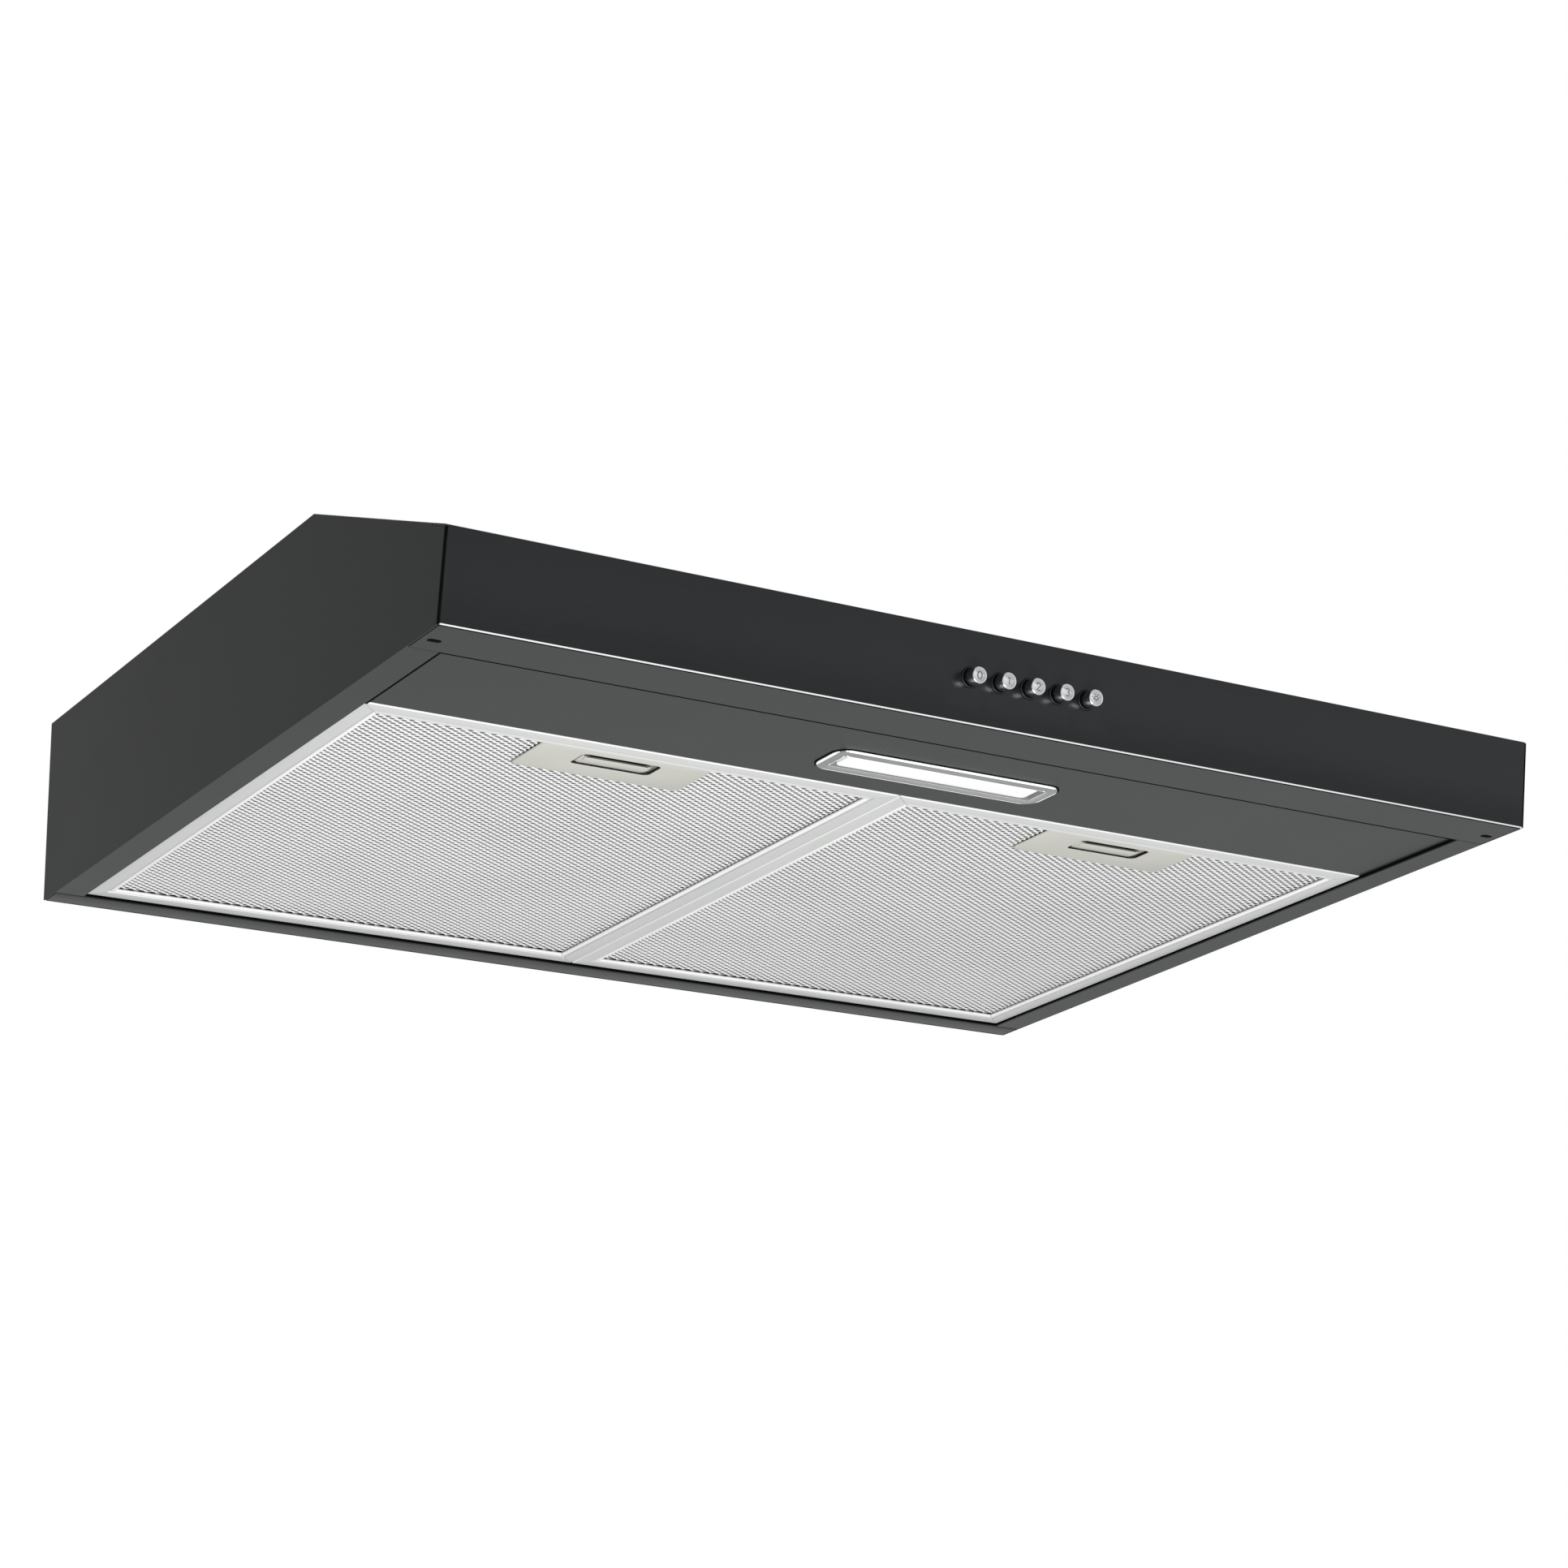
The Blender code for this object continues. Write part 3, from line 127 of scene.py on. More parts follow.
class FinishNodes:
    """Node tree of one finish."""

    def __init__(self, finish: Finish) -> None:
        """Build the whole tree.

        Args:
            finish: the finish to draw.
        """
        self.finish = finish
        self.material = bpy.data.materials.new(finish.name)
        self.material.use_nodes = True
        self.tree = self.material.node_tree
        self.shader = self.tree.nodes["Principled BSDF"]
        self.place = self.tree.nodes.new("ShaderNodeTexCoord").outputs["Object"]
        fixed = {"Metallic": finish.metallic, "Coat Weight": finish.coat, "Coat Roughness": COAT_ROUGHNESS,
                 "Specular IOR Level": finish.shine, "Specular Tint": (*finish.tint_of_shine, 1.0)}
        if finish.glow > 0.0:
            fixed.update({"Emission Color": (*finish.colour, 1.0), "Emission Strength": finish.glow})
        for key, value in fixed.items():
            self.shader.inputs[key].default_value = value
        makers = {Pattern.PEEL: self.peel, Pattern.BRUSHED: self.brushed, Pattern.SPANGLE: self.spangle,
                  Pattern.MOULDED: self.moulded, Pattern.POLISHED: self.polished, Pattern.FOIL: self.foil}
        makers[finish.pattern](self.noise(self.place, 1.0 / DRIFT, 3.0))

    def node(self, kind: str, inputs: dict, **values: object) -> bpy.types.Node:
        """Add one node.

        Args:
            kind: node type.
            inputs: a number, a colour or another node's socket for each named input.
            values: plain properties of the node.

        Returns:
            The node.
        """
        made = self.tree.nodes.new(kind)
        for key, value in values.items():
            setattr(made, key, value)
        for key, value in inputs.items():
            self.feed(made.inputs[key], value)
        return made

    def feed(self, target: Socket, value: object) -> None:
        """Link a socket to an input, or set the input's own value."""
        if isinstance(value, Socket):
            self.tree.links.new(value, target)
        else:
            target.default_value = value

    def noise(self, vector: Socket, scale: float, detail: float) -> Socket:
        """Noise value, 0 to 1, with so many cells per metre and so many octaves."""
        made = self.node("ShaderNodeTexNoise", {"Scale": scale, "Detail": detail, "Vector": vector})
        return made.outputs["Fac"]

    def stretched(self, along: Sequence[float]) -> Socket:
        """Object coordinates divided by a stretch on each axis."""
        scale = tuple(1.0 / value for value in along)
        return self.node("ShaderNodeMapping", {"Scale": scale, "Vector": self.place}).outputs["Vector"]

    def span(self, value: Socket, low: float, high: float, start: float = 0.25, stop: float = 0.75) -> Socket:
        """Map start..stop of a value to low..high, held at the ends."""
        ends = {"From Min": start, "From Max": stop, "To Min": low, "To Max": high, "Value": value}
        return self.node("ShaderNodeMapRange", ends, clamp=True).outputs["Result"]

    def mixed(self, one: Socket, two: Socket, share: float) -> Socket:
        """Mix two values, share of the second."""
        made = self.node("ShaderNodeMix", {"Factor": share, "A": one, "B": two}, data_type="FLOAT")
        return made.outputs["Result"]

    def surface(self, colour: Socket, gloss: Socket, height: Socket, deep: float) -> None:
        """Drive colour, roughness and bump, each over the finish's own range.

        Args:
            colour: 0 for the main colour, 1 for the tint.
            gloss: low where the surface is glossiest.
            height: height of the close up pattern.
            deep: its depth as a share of the grain.
        """
        finish = self.finish
        tone = self.node("ShaderNodeMix", {}, data_type="RGBA")
        self.feed(tone.inputs["A"], (*finish.colour, 1.0))
        self.feed(tone.inputs["B"], (*finish.tint, 1.0))
        self.feed(tone.inputs["Factor"], colour)
        bump = self.node("ShaderNodeBump", {"Strength": finish.relief, "Distance": finish.grain * deep,
                                            "Height": height})
        self.feed(self.shader.inputs["Base Color"], tone.outputs["Result"])
        self.feed(self.shader.inputs["Roughness"], self.span(gloss, *finish.rough))
        self.feed(self.shader.inputs["Normal"], bump.outputs["Normal"])

    def peel(self, drift: Socket) -> None:
        """Paint: slow colour drift, soft lumps and fine specks."""
        lumps = self.noise(self.stretched(self.finish.stretch), 1.0 / self.finish.grain, 2.0)
        specks = self.noise(self.place, 4.0 / self.finish.grain, 2.0)
        self.surface(self.span(self.mixed(drift, specks, 0.45), 0.0, 1.0), self.mixed(drift, lumps, 0.5),
                     self.mixed(lumps, specks, 0.3), 0.05)

    def brushed(self, drift: Socket) -> None:
        """Brushed metal: long thin scratches."""
        lines = self.noise(self.stretched(self.finish.stretch), 1.0 / self.finish.grain, 4.0)
        share = self.mixed(drift, lines, 0.6)
        self.surface(self.span(share, 0.0, 1.0), share, lines, 0.1)

    def spangle(self, drift: Socket) -> None:
        """Zinc flowers: flat cells of slightly different grey with ragged edges."""
        ragged = self.node("ShaderNodeMix", {}, data_type="VECTOR")
        wobble = self.node("ShaderNodeTexNoise", {"Scale": 2.0 / self.finish.grain, "Vector": self.place})
        self.feed(ragged.inputs["Factor"], 0.004)
        self.feed(ragged.inputs["A"], self.place)
        self.feed(ragged.inputs["B"], wobble.outputs["Color"])
        cell = self.node("ShaderNodeTexVoronoi", {"Scale": 1.0 / self.finish.grain,
                                                  "Vector": ragged.outputs["Result"]})
        split = self.node("ShaderNodeSeparateColor", {"Color": cell.outputs["Color"]}).outputs
        shade = self.mixed(split["Red"], drift, 0.3)
        self.surface(self.span(shade, 0.0, 1.0, 0.1, 0.9), split["Green"], split["Blue"], 0.01)

    def moulded(self, drift: Socket) -> None:
        """Moulded plastic: fine sand grain."""
        sand = self.noise(self.place, 1.0 / self.finish.grain, 3.0)
        self.surface(self.span(self.mixed(drift, sand, 0.3), 0.0, 1.0), self.mixed(drift, sand, 0.4),
                     sand, 0.15)

    def polished(self, drift: Socket) -> None:
        """Polished surface: faint wiping marks in the gloss only."""
        wipes = self.noise(self.stretched(WIPING), 1.0 / self.finish.grain, 3.0)
        self.surface(self.span(drift, 0.0, 1.0), self.mixed(drift, wipes, 0.6), wipes, 0.02)

    def foil(self, drift: Socket) -> None:
        """Rolled foil: light creases and dull spots."""
        creases = self.noise(self.place, 1.0 / self.finish.grain, 2.0)
        self.surface(self.span(self.mixed(drift, creases, 0.5), 0.0, 1.0), creases, creases, 0.08)


BODY_PAINT = Finish("satin_dark_grey_paint", (0.0085, 0.0100, 0.0095), (0.0125, 0.0140, 0.0135), Pattern.PEEL,
                    rough=(0.30, 0.38), grain=0.0009, relief=0.08, shine=0.44,
                    tint_of_shine=(0.90, 1.0, 0.95))
FASCIA_PAINT = Finish("gloss_dark_grey_paint", (0.0030, 0.0040, 0.0046), (0.0055, 0.0068, 0.0075),
                      Pattern.BRUSHED, rough=(0.20, 0.27), grain=0.0010, relief=0.04,
                      stretch=(30.0, 1.0, 1.0), shine=0.46, tint_of_shine=(0.94, 0.98, 1.0))
# Painted highlight laid on the fascia's rolled bottom edge.
EDGE_HIGHLIGHT_PAINT = Finish("painted_edge_highlight", (0.80, 0.81, 0.81), (0.70, 0.71, 0.71), Pattern.BRUSHED,
                   metallic=0.4, rough=(0.20, 0.30), grain=0.0003, relief=0.10, stretch=(40.0, 1.0, 1.0))
RAIL_X = Finish("drawn_aluminium_across", (0.60, 0.61, 0.60), (0.66, 0.67, 0.66), Pattern.BRUSHED,
                metallic=0.30, rough=(0.34, 0.46), grain=0.0004, relief=0.12, stretch=(60.0, 1.0, 1.0))
RAIL_Y = Finish("drawn_aluminium_lengthwise", (0.60, 0.61, 0.60), (0.66, 0.67, 0.66), Pattern.BRUSHED,
                metallic=0.30, rough=(0.34, 0.46), grain=0.0004, relief=0.12, stretch=(1.0, 60.0, 1.0))
# Painted highlight laid on the rounded outer edge and the bead of the filter rails.
RAIL_HIGHLIGHT_PAINT = Finish("painted_rail_highlight", (0.90, 0.90, 0.90), (0.84, 0.84, 0.84), Pattern.POLISHED,
                   metallic=0.15, rough=(0.25, 0.36), grain=0.0010, relief=0.08)
MESH_FOIL = Finish("expanded_aluminium_foil", (0.92, 0.92, 0.92), (0.84, 0.84, 0.84), Pattern.FOIL,
                   metallic=0.35, rough=(0.42, 0.58), grain=0.0015, relief=0.25)
# The mesh's own aluminium foil, painted darker as the shade it lies in behind the outer mesh.
INNER_FOIL_SHADE = Finish("inner_foil_painted_shade", (0.35, 0.35, 0.35), (0.24, 0.24, 0.24), Pattern.FOIL,
                    metallic=0.5, rough=(0.42, 0.60), grain=0.0022, relief=0.8)
LATCH_PLASTIC = Finish("warm_grey_latch_plastic", (0.45, 0.45, 0.41), (0.51, 0.51, 0.47), Pattern.MOULDED,
                       rough=(0.42, 0.55), grain=0.0005, relief=0.20)
# Painted shade on the front of the latch slider, where the pocket's edge shades it.
SLIDER_SHADE_PAINT = Finish("painted_slider_shade", (0.06, 0.06, 0.055), (0.09, 0.09, 0.08), Pattern.MOULDED,
                        rough=(0.45, 0.60), grain=0.0005, relief=0.20)
CHROME = Finish("chrome_plate", (0.86, 0.87, 0.88), (0.80, 0.81, 0.82), Pattern.POLISHED,
                metallic=1.0, rough=(0.05, 0.12), grain=0.0010, relief=0.05)
CHROME_SIDE = Finish("chrome_plate_side", (0.62, 0.63, 0.64), (0.52, 0.53, 0.54), Pattern.POLISHED,
                     metallic=1.0, rough=(0.20, 0.30), grain=0.0010, relief=0.05)
ENGRAVED = Finish("engraved_mark", (0.10, 0.10, 0.105), (0.14, 0.14, 0.145), Pattern.MOULDED,
                  metallic=0.6, rough=(0.30, 0.42), grain=0.0003, relief=0.15)
BLACK_PLASTIC = Finish("black_moulded_plastic", (0.012, 0.012, 0.013), (0.018, 0.018, 0.019), Pattern.MOULDED,
                       rough=(0.32, 0.46), grain=0.0005, relief=0.25)
# Painted shade: near black matt strips laid in seams and gaps where there is only shade.
SEAM_SHADE_PAINT = Finish("painted_seam_shade", (0.0015, 0.0015, 0.0015), (0.0030, 0.0030, 0.0030), Pattern.MOULDED,
                   rough=(0.80, 0.95), grain=0.0006, relief=0.30, shine=0.04)
GREY_PLASTIC = Finish("grey_moulded_plastic", (0.27, 0.28, 0.28), (0.32, 0.33, 0.33), Pattern.MOULDED,
                      rough=(0.38, 0.52), grain=0.0006, relief=0.25)
WHITE_PLASTIC = Finish("off_white_plastic", (0.76, 0.76, 0.72), (0.70, 0.70, 0.66), Pattern.MOULDED,
                       rough=(0.30, 0.44), grain=0.0006, relief=0.20)
BEZEL_PLASTIC = Finish("smoky_clear_bezel", (0.17, 0.18, 0.175), (0.21, 0.22, 0.215), Pattern.POLISHED,
                       rough=(0.10, 0.20), grain=0.0020, relief=0.05, coat=0.5)
# Painted highlight, near white with a faint painted glow, on the bezel's outer rounding and window bead.
BEZEL_HIGHLIGHT_PAINT = Finish("painted_bezel_highlight", (0.90, 0.91, 0.91), (0.84, 0.85, 0.85), Pattern.POLISHED,
                    rough=(0.08, 0.16), grain=0.0015, relief=0.05, glow=0.22)
DIFFUSER = Finish("frosted_white_diffuser", (0.76, 0.75, 0.75), (0.71, 0.70, 0.70), Pattern.MOULDED,
                  rough=(0.30, 0.42), grain=0.0004, relief=0.15, glow=0.18)
GALVANISED = Finish("galvanised_steel", (0.36, 0.37, 0.38), (0.52, 0.53, 0.54), Pattern.SPANGLE,
                    metallic=0.85, rough=(0.34, 0.52), grain=0.0060, relief=0.15)
STEEL = Finish("bright_steel", (0.56, 0.56, 0.56), (0.46, 0.46, 0.46), Pattern.BRUSHED,
               metallic=1.0, rough=(0.22, 0.36), grain=0.0003, relief=0.15, stretch=(1.0, 1.0, 12.0))
MOTOR_ENAMEL = Finish("dark_motor_enamel", (0.045, 0.045, 0.050), (0.075, 0.075, 0.080), Pattern.BRUSHED,
                      metallic=0.5, rough=(0.36, 0.55), grain=0.0006, relief=0.6, stretch=(1.0, 30.0, 30.0))
BOARD_LACQUER = Finish("green_board_lacquer", (0.02, 0.11, 0.05), (0.03, 0.16, 0.07), Pattern.BRUSHED,
                       rough=(0.30, 0.50), grain=0.0010, relief=0.2, stretch=(18.0, 1.0, 1.0), coat=0.3)
PALE_FLOOR = Finish("pale_floor", (0.88, 0.88, 0.88), (0.84, 0.84, 0.84), Pattern.MOULDED,
                    rough=(0.6, 0.8), grain=0.02, relief=0.05)


# ----------------------------------------------------------------------------- surfaces

@dataclass
class Shell:
    """Points and faces of one closed skin."""

    points: np.ndarray
    faces: list


def quads(rows: int, count: int, closed: bool) -> np.ndarray:
    """Quads between neighbouring rings of points.

    Args:
        rows: number of rings.
        count: points in each ring.
        closed: whether the last ring joins the first.

    Returns:
        An array of four point numbers per face.
    """
    last = rows if closed else rows - 1
    row = np.arange(last)[:, None] * count
    after = ((np.arange(last)[:, None] + 1) % rows) * count
    one = np.arange(count)[None, :]
    two = (one + 1) % count
    return np.stack([row + one, row + two, after + two, after + one], axis=-1).reshape(-1, 4)


def stack(rings: np.ndarray, closed: bool = False) -> Shell:
    """Skin through rings of points, capped flat at both ends unless the rings close on themselves.

    Args:
        rings: array of rings by points by 3.
        closed: whether the last ring joins the first.

    Returns:
        The closed skin.
    """
    rows, count, _ = rings.shape
    faces = quads(rows, count, closed).tolist()
    if not closed:
        faces.append(list(range(count))[::-1])
        faces.append(list(range((rows - 1) * count, rows * count)))
    return Shell(rings.reshape(-1, 3), faces)


def arc(u: float, v: float, radius: float, start: float, stop: float, count: int) -> np.ndarray:
    """Points on a circle: centre plus radius times (cos, sin) of an even run of angles in degrees."""
    turn = np.radians(np.linspace(start, stop, count))
    return np.stack([u + radius * np.cos(turn), v + radius * np.sin(turn)], axis=1)


def rounded(half_u: float, half_v: float, radius: float, count: int) -> np.ndarray:
    """Rounded rectangle round the origin: four quarter arcs joined by straight sides."""
    radius = max(min(radius, half_u, half_v), 1e-5)
    u, v = half_u - radius, half_v - radius
    parts = [arc(u, v, radius, 0, 90, count), arc(-u, v, radius, 90, 180, count),
             arc(-u, -v, radius, 180, 270, count), arc(u, -v, radius, 270, 360, count)]
    return np.concatenate(parts)


def lofted(sections: Iterable[tuple[float, float]], half_u: float, half_v: float, radius: float,
           centre: Sequence[float], count: int = 7, closed: bool = False) -> Shell:
    """Skin through rounded rectangles, each given as (inset, height).

    Args:
        sections: inset from the outline and height of each ring.
        half_u: half width of the outline along X.
        half_v: half length along Y.
        radius: corner radius of the outline.
        centre: x and y of the middle.
        count: points per corner.
        closed: whether the rings form a frame.

    Returns:
        The closed skin.
    """
    rings = []
    for inset, height in sections:
        flat = rounded(half_u - inset, half_v - inset, radius - inset, count) + np.asarray(centre)
        rings.append(np.column_stack([flat, np.full(len(flat), height)]))
    return stack(np.array(rings), closed)


def turned(profile: Sequence[tuple[float, float]], count: int) -> np.ndarray:
    """Rings of a turned shape: at each (along, radius), radius times (cos, sin) round the axis.

    Args:
        profile: distance along the axis and radius of each ring.
        count: points in each ring.

    Returns:
        Array of rings by points by (along, u, v).
    """
    along, radius = np.array(profile, float).T
    turn = np.linspace(0.0, math.tau, count, endpoint=False)
    return np.stack([np.repeat(along[:, None], count, 1), radius[:, None] * np.cos(turn),
                     radius[:, None] * np.sin(turn)], axis=-1)


def box_shell(low: Sequence[float], high: Sequence[float]) -> Shell:
    """Plain block between two corners."""
    x0, y0, z0 = low
    x1, y1, z1 = high
    flat = np.array([[x0, y0], [x1, y0], [x1, y1], [x0, y1]])
    rings = np.array([np.column_stack([flat, np.full(4, z)]) for z in (z0, z1)])
    return stack(rings)


def bent(corners: np.ndarray, radius: float, steps: int) -> tuple[np.ndarray, np.ndarray]:
    """Centre line with its corners turned into arcs, and the left normal at each point.

    Args:
        corners: corner points of the line, in (u, v).
        radius: bend radius of the centre line.
        steps: pieces in a quarter turn.

    Returns:
        Points and unit left normals.
    """
    points = [corners[0]]
    first = corners[1] - corners[0]
    normals = [np.array([-first[1], first[0]]) / np.linalg.norm(first)]
    for before, here, after in zip(corners[:-2], corners[1:-1], corners[2:]):
        one = (here - before) / np.linalg.norm(here - before)
        two = (after - here) / np.linalg.norm(after - here)
        turn = math.atan2(one[0] * two[1] - one[1] * two[0], float(one @ two))
        back = radius * math.tan(abs(turn) / 2)
        side = 1.0 if turn > 0 else -1.0
        left = np.array([-one[1], one[0]])
        centre = here - one * back + left * side * radius
        swing = np.linspace(0.0, turn, max(2, round(steps * abs(turn) / (math.pi / 2)) + 1))
        lefts = np.stack([left[0] * np.cos(swing) - left[1] * np.sin(swing),
                          left[0] * np.sin(swing) + left[1] * np.cos(swing)], axis=1)
        points.extend(centre - lefts * side * radius)
        normals.extend(lefts)
    last = corners[-1] - corners[-2]
    points.append(corners[-1])
    normals.append(np.array([-last[1], last[0]]) / np.linalg.norm(last))
    return np.array(points), np.array(normals)


def sheet_outline(corners: Sequence[Sequence[float]], radius: float, thick: float,
                  steps: int = 6) -> np.ndarray:
    """Closed outline of a folded sheet: its bent centre line set off half its thickness each way.

    Args:
        corners: corner points of the centre line, in (u, v).
        radius: bend radius of the centre line.
        thick: thickness of the sheet.
        steps: pieces in a quarter turn.

    Returns:
        The outline, with a half circle over each end.
    """
    line, normal = bent(np.array(corners, float), radius, steps)
    half = thick / 2
    left = line + normal * half
    right = line - normal * half

    def cap(middle: np.ndarray, side: np.ndarray) -> np.ndarray:
        """Half circle over one end, from side round to its opposite."""
        turn = np.linspace(0.0, math.pi, 7)[1:-1]
        ahead = np.array([side[1], -side[0]])
        return middle + half * (np.outer(np.cos(turn), side) + np.outer(np.sin(turn), ahead))

    return np.concatenate([left, cap(line[-1], normal[-1]), right[::-1], cap(line[0], -normal[0])])


def ribbon_sides(line: np.ndarray, width: float) -> tuple[np.ndarray, np.ndarray]:
    """Both edges of a flat ribbon: the line set off half a width each way along its own normal."""
    run = np.gradient(line, axis=0)
    run = run / np.linalg.norm(run, axis=1, keepdims=True)
    side = np.column_stack([-run[:, 1], run[:, 0]]) * width / 2
    return line + side, line - side


def pushed_x(outline: np.ndarray, stations: Sequence[float]) -> Shell:
    """Outline in (y, z) carried straight along X through the given stations."""
    rings = [np.column_stack([np.full(len(outline), x), outline]) for x in stations]
    return stack(np.array(rings))


def skin_mesh(name: str, shells: Sequence[Shell]) -> bpy.types.Mesh:
    """One mesh of several closed skins, every face turned outward."""
    starts = np.cumsum([0] + [len(shell.points) for shell in shells])
    faces = [[int(start) + corner for corner in face]
             for shell, start in zip(shells, starts) for face in shell.faces]
    mesh = bpy.data.meshes.new(name)
    mesh.from_pydata(np.concatenate([shell.points for shell in shells]).tolist(), [], faces)
    mesh.update()
    work = bmesh.new()
    work.from_mesh(mesh)
    bmesh.ops.recalc_face_normals(work, faces=work.faces)
    work.to_mesh(mesh)
    work.free()
    return mesh


def centres_of(mesh: bpy.types.Mesh) -> np.ndarray:
    """Middle of every face."""
    centres = np.empty(len(mesh.polygons) * 3)
    mesh.polygons.foreach_get("center", centres)
    return centres.reshape(-1, 3)


def placed_object(name: str, data: bpy.types.ID) -> bpy.types.Object:
    """New object at the origin, in the scene, for a mesh, a light or a camera."""
    made = bpy.data.objects.new(name, data)
    bpy.context.scene.collection.objects.link(made)
    return made


@dataclass
class Piece:
    """A visible piece being put together.

    Attributes:
        name: name of the object.
        body: CAD body it rides on.
        slot: record's material slot; not used.
        replaces: CAD nodes it stands for.
        smooth: edges sharper than this many degrees stay sharp.
    """

    name: str
    body: str
    slot: str
    replaces: tuple[str, ...] = ()
    smooth: float = SHARP
    shells: list = field(default_factory=list)
    finishes: list = field(default_factory=list)

    def add(self, shell: Shell, finish: Finish) -> "Piece":
        """Add one skin in one finish and return the piece."""
        self.shells.append(shell)
        self.finishes.append(finish)
        return self

    def build(self, paint: Optional[Callable[[np.ndarray], np.ndarray]] = None,
              extra: Sequence[Finish] = ()) -> bpy.types.Object:
        """Make the object, turn its faces outward, dress it and let it ride.

        Args:
            paint: gives a material number for face centres, -1 where a shell's own finish stays.
            extra: finishes that paint numbers refer to, after those of the shells.

        Returns:
            The finished object.
        """
        names = list(dict.fromkeys([*self.finishes, *extra]))
        index = np.concatenate([np.full(len(shell.faces), names.index(finish))
                                for shell, finish in zip(self.shells, self.finishes)])
        mesh = skin_mesh(self.name, self.shells)
        for finish in names:
            mesh.materials.append(finish.material())
        if paint is not None:
            chosen = paint(centres_of(mesh))
            index = np.where(chosen >= 0, chosen, index)
        mesh.polygons.foreach_set("material_index", np.asarray(index, dtype=np.int32))
        mesh.shade_smooth()
        mesh.set_sharp_from_angle(angle=math.radians(self.smooth))
        made = placed_object(self.name, mesh)
        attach(made, self.body)
        if self.replaces:
            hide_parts(*self.replaces)
        LOG.info("piece %s: %d faces on %s", self.name, len(mesh.polygons), self.body)
        return made


def soften(thing: bpy.types.Object, width: float, angle: float = 40.0, weld: bool = False) -> None:
    """Round the sharp edges of a piece with live modifiers.

    Args:
        thing: piece or CAD node.
        width: width of the rounding.
        angle: edges sharper than this many degrees are rounded.
        weld: join doubled points first, as a CAD node needs.
    """
    if weld:
        join = thing.modifiers.new("join", "WELD")
        join.merge_threshold = 0.000005
    edge = thing.modifiers.new("edge", "BEVEL")
    edge.width = width
    edge.segments = 2
    edge.limit_method = "ANGLE"
    edge.angle_limit = math.radians(angle)
    edge.harden_normals = True


def cut_round(piece: bpy.types.Object, tools: Sequence[Shell]) -> None:
    """Cut closed tools out of a piece for good.

    Args:
        piece: object to cut.
        tools: closed skins to take away.
    """
    cutter = placed_object("cutter", skin_mesh("cutter", tools))
    change = piece.modifiers.new("cut", "BOOLEAN")
    change.operation = "DIFFERENCE"
    change.solver = "EXACT"
    change.object = cutter
    bpy.context.view_layer.update()
    result = bpy.data.meshes.new_from_object(piece.evaluated_get(bpy.context.evaluated_depsgraph_get()))
    piece.modifiers.clear()
    piece.data = result
    result.set_sharp_from_angle(angle=math.radians(SHARP))
    bpy.data.objects.remove(cutter, do_unlink=True)


# ----------------------------------------------------------------------------- frame measures

def mm(*rows: Sequence[float], base: Sequence[float] = (0.0, 0.0)) -> np.ndarray:
    """Rows of millimetres turned into metres, on top of a base."""
    return np.array(rows, float) * MM + np.array(base, float)


def extent(name: str) -> tuple[Vector, Vector, tuple[float, float], tuple[float, float]]:
    """Lowest and highest corner of a CAD node, its middle in plan and half its size in plan."""
    low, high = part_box(name)
    half = ((high.x - low.x) / 2, (high.y - low.y) / 2)
    return low, high, ((low.x + high.x) / 2, (low.y + high.y) / 2), half


def joint(name: str) -> dict:
    """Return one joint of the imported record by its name."""
    return next(row for row in frame["joints"] if row["name"] == name)


@dataclass(frozen=True)
class Frame:
    """Measures that the pieces share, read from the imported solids."""

    depth: float = 460 * MM
    lean_in: tuple = tuple(joint("button_off_press")["axis"])

    @property
    def half(self) -> float:
        """Half the width of the hood."""
        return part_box("right_side_panel")[1].x

    @property
    def front(self) -> float:
        """Y of the bottom front edge."""
        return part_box("left_side_panel")[1].y - self.depth

    @property
    def floor(self) -> float:
        """Z of the bottom rim."""
        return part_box("left_side_panel")[0].z

    @property
    def inward(self) -> np.ndarray:
        """Unit normal of the leaning front, pointing into the hood."""
        return np.array(self.lean_in, float) / np.linalg.norm(self.lean_in)

    @property
    def upward(self) -> np.ndarray:
        """Unit direction up the leaning front."""
        normal = self.inward
        return np.array([0.0, -normal[2], normal[1]])

    def on_front(self, x: np.ndarray, up: np.ndarray, inward: np.ndarray) -> np.ndarray:
        """Points from measures on the leaning front: x across, up its face, inward from it."""
        base = np.array([0.0, self.front, self.floor])
        across = np.asarray(x)[..., None] * np.array([1.0, 0.0, 0.0])
        rise = np.asarray(up)[..., None] * self.upward
        return base + across + rise + np.asarray(inward)[..., None] * self.inward


SHAPE = Frame()


# ----------------------------------------------------------------------------- body shell

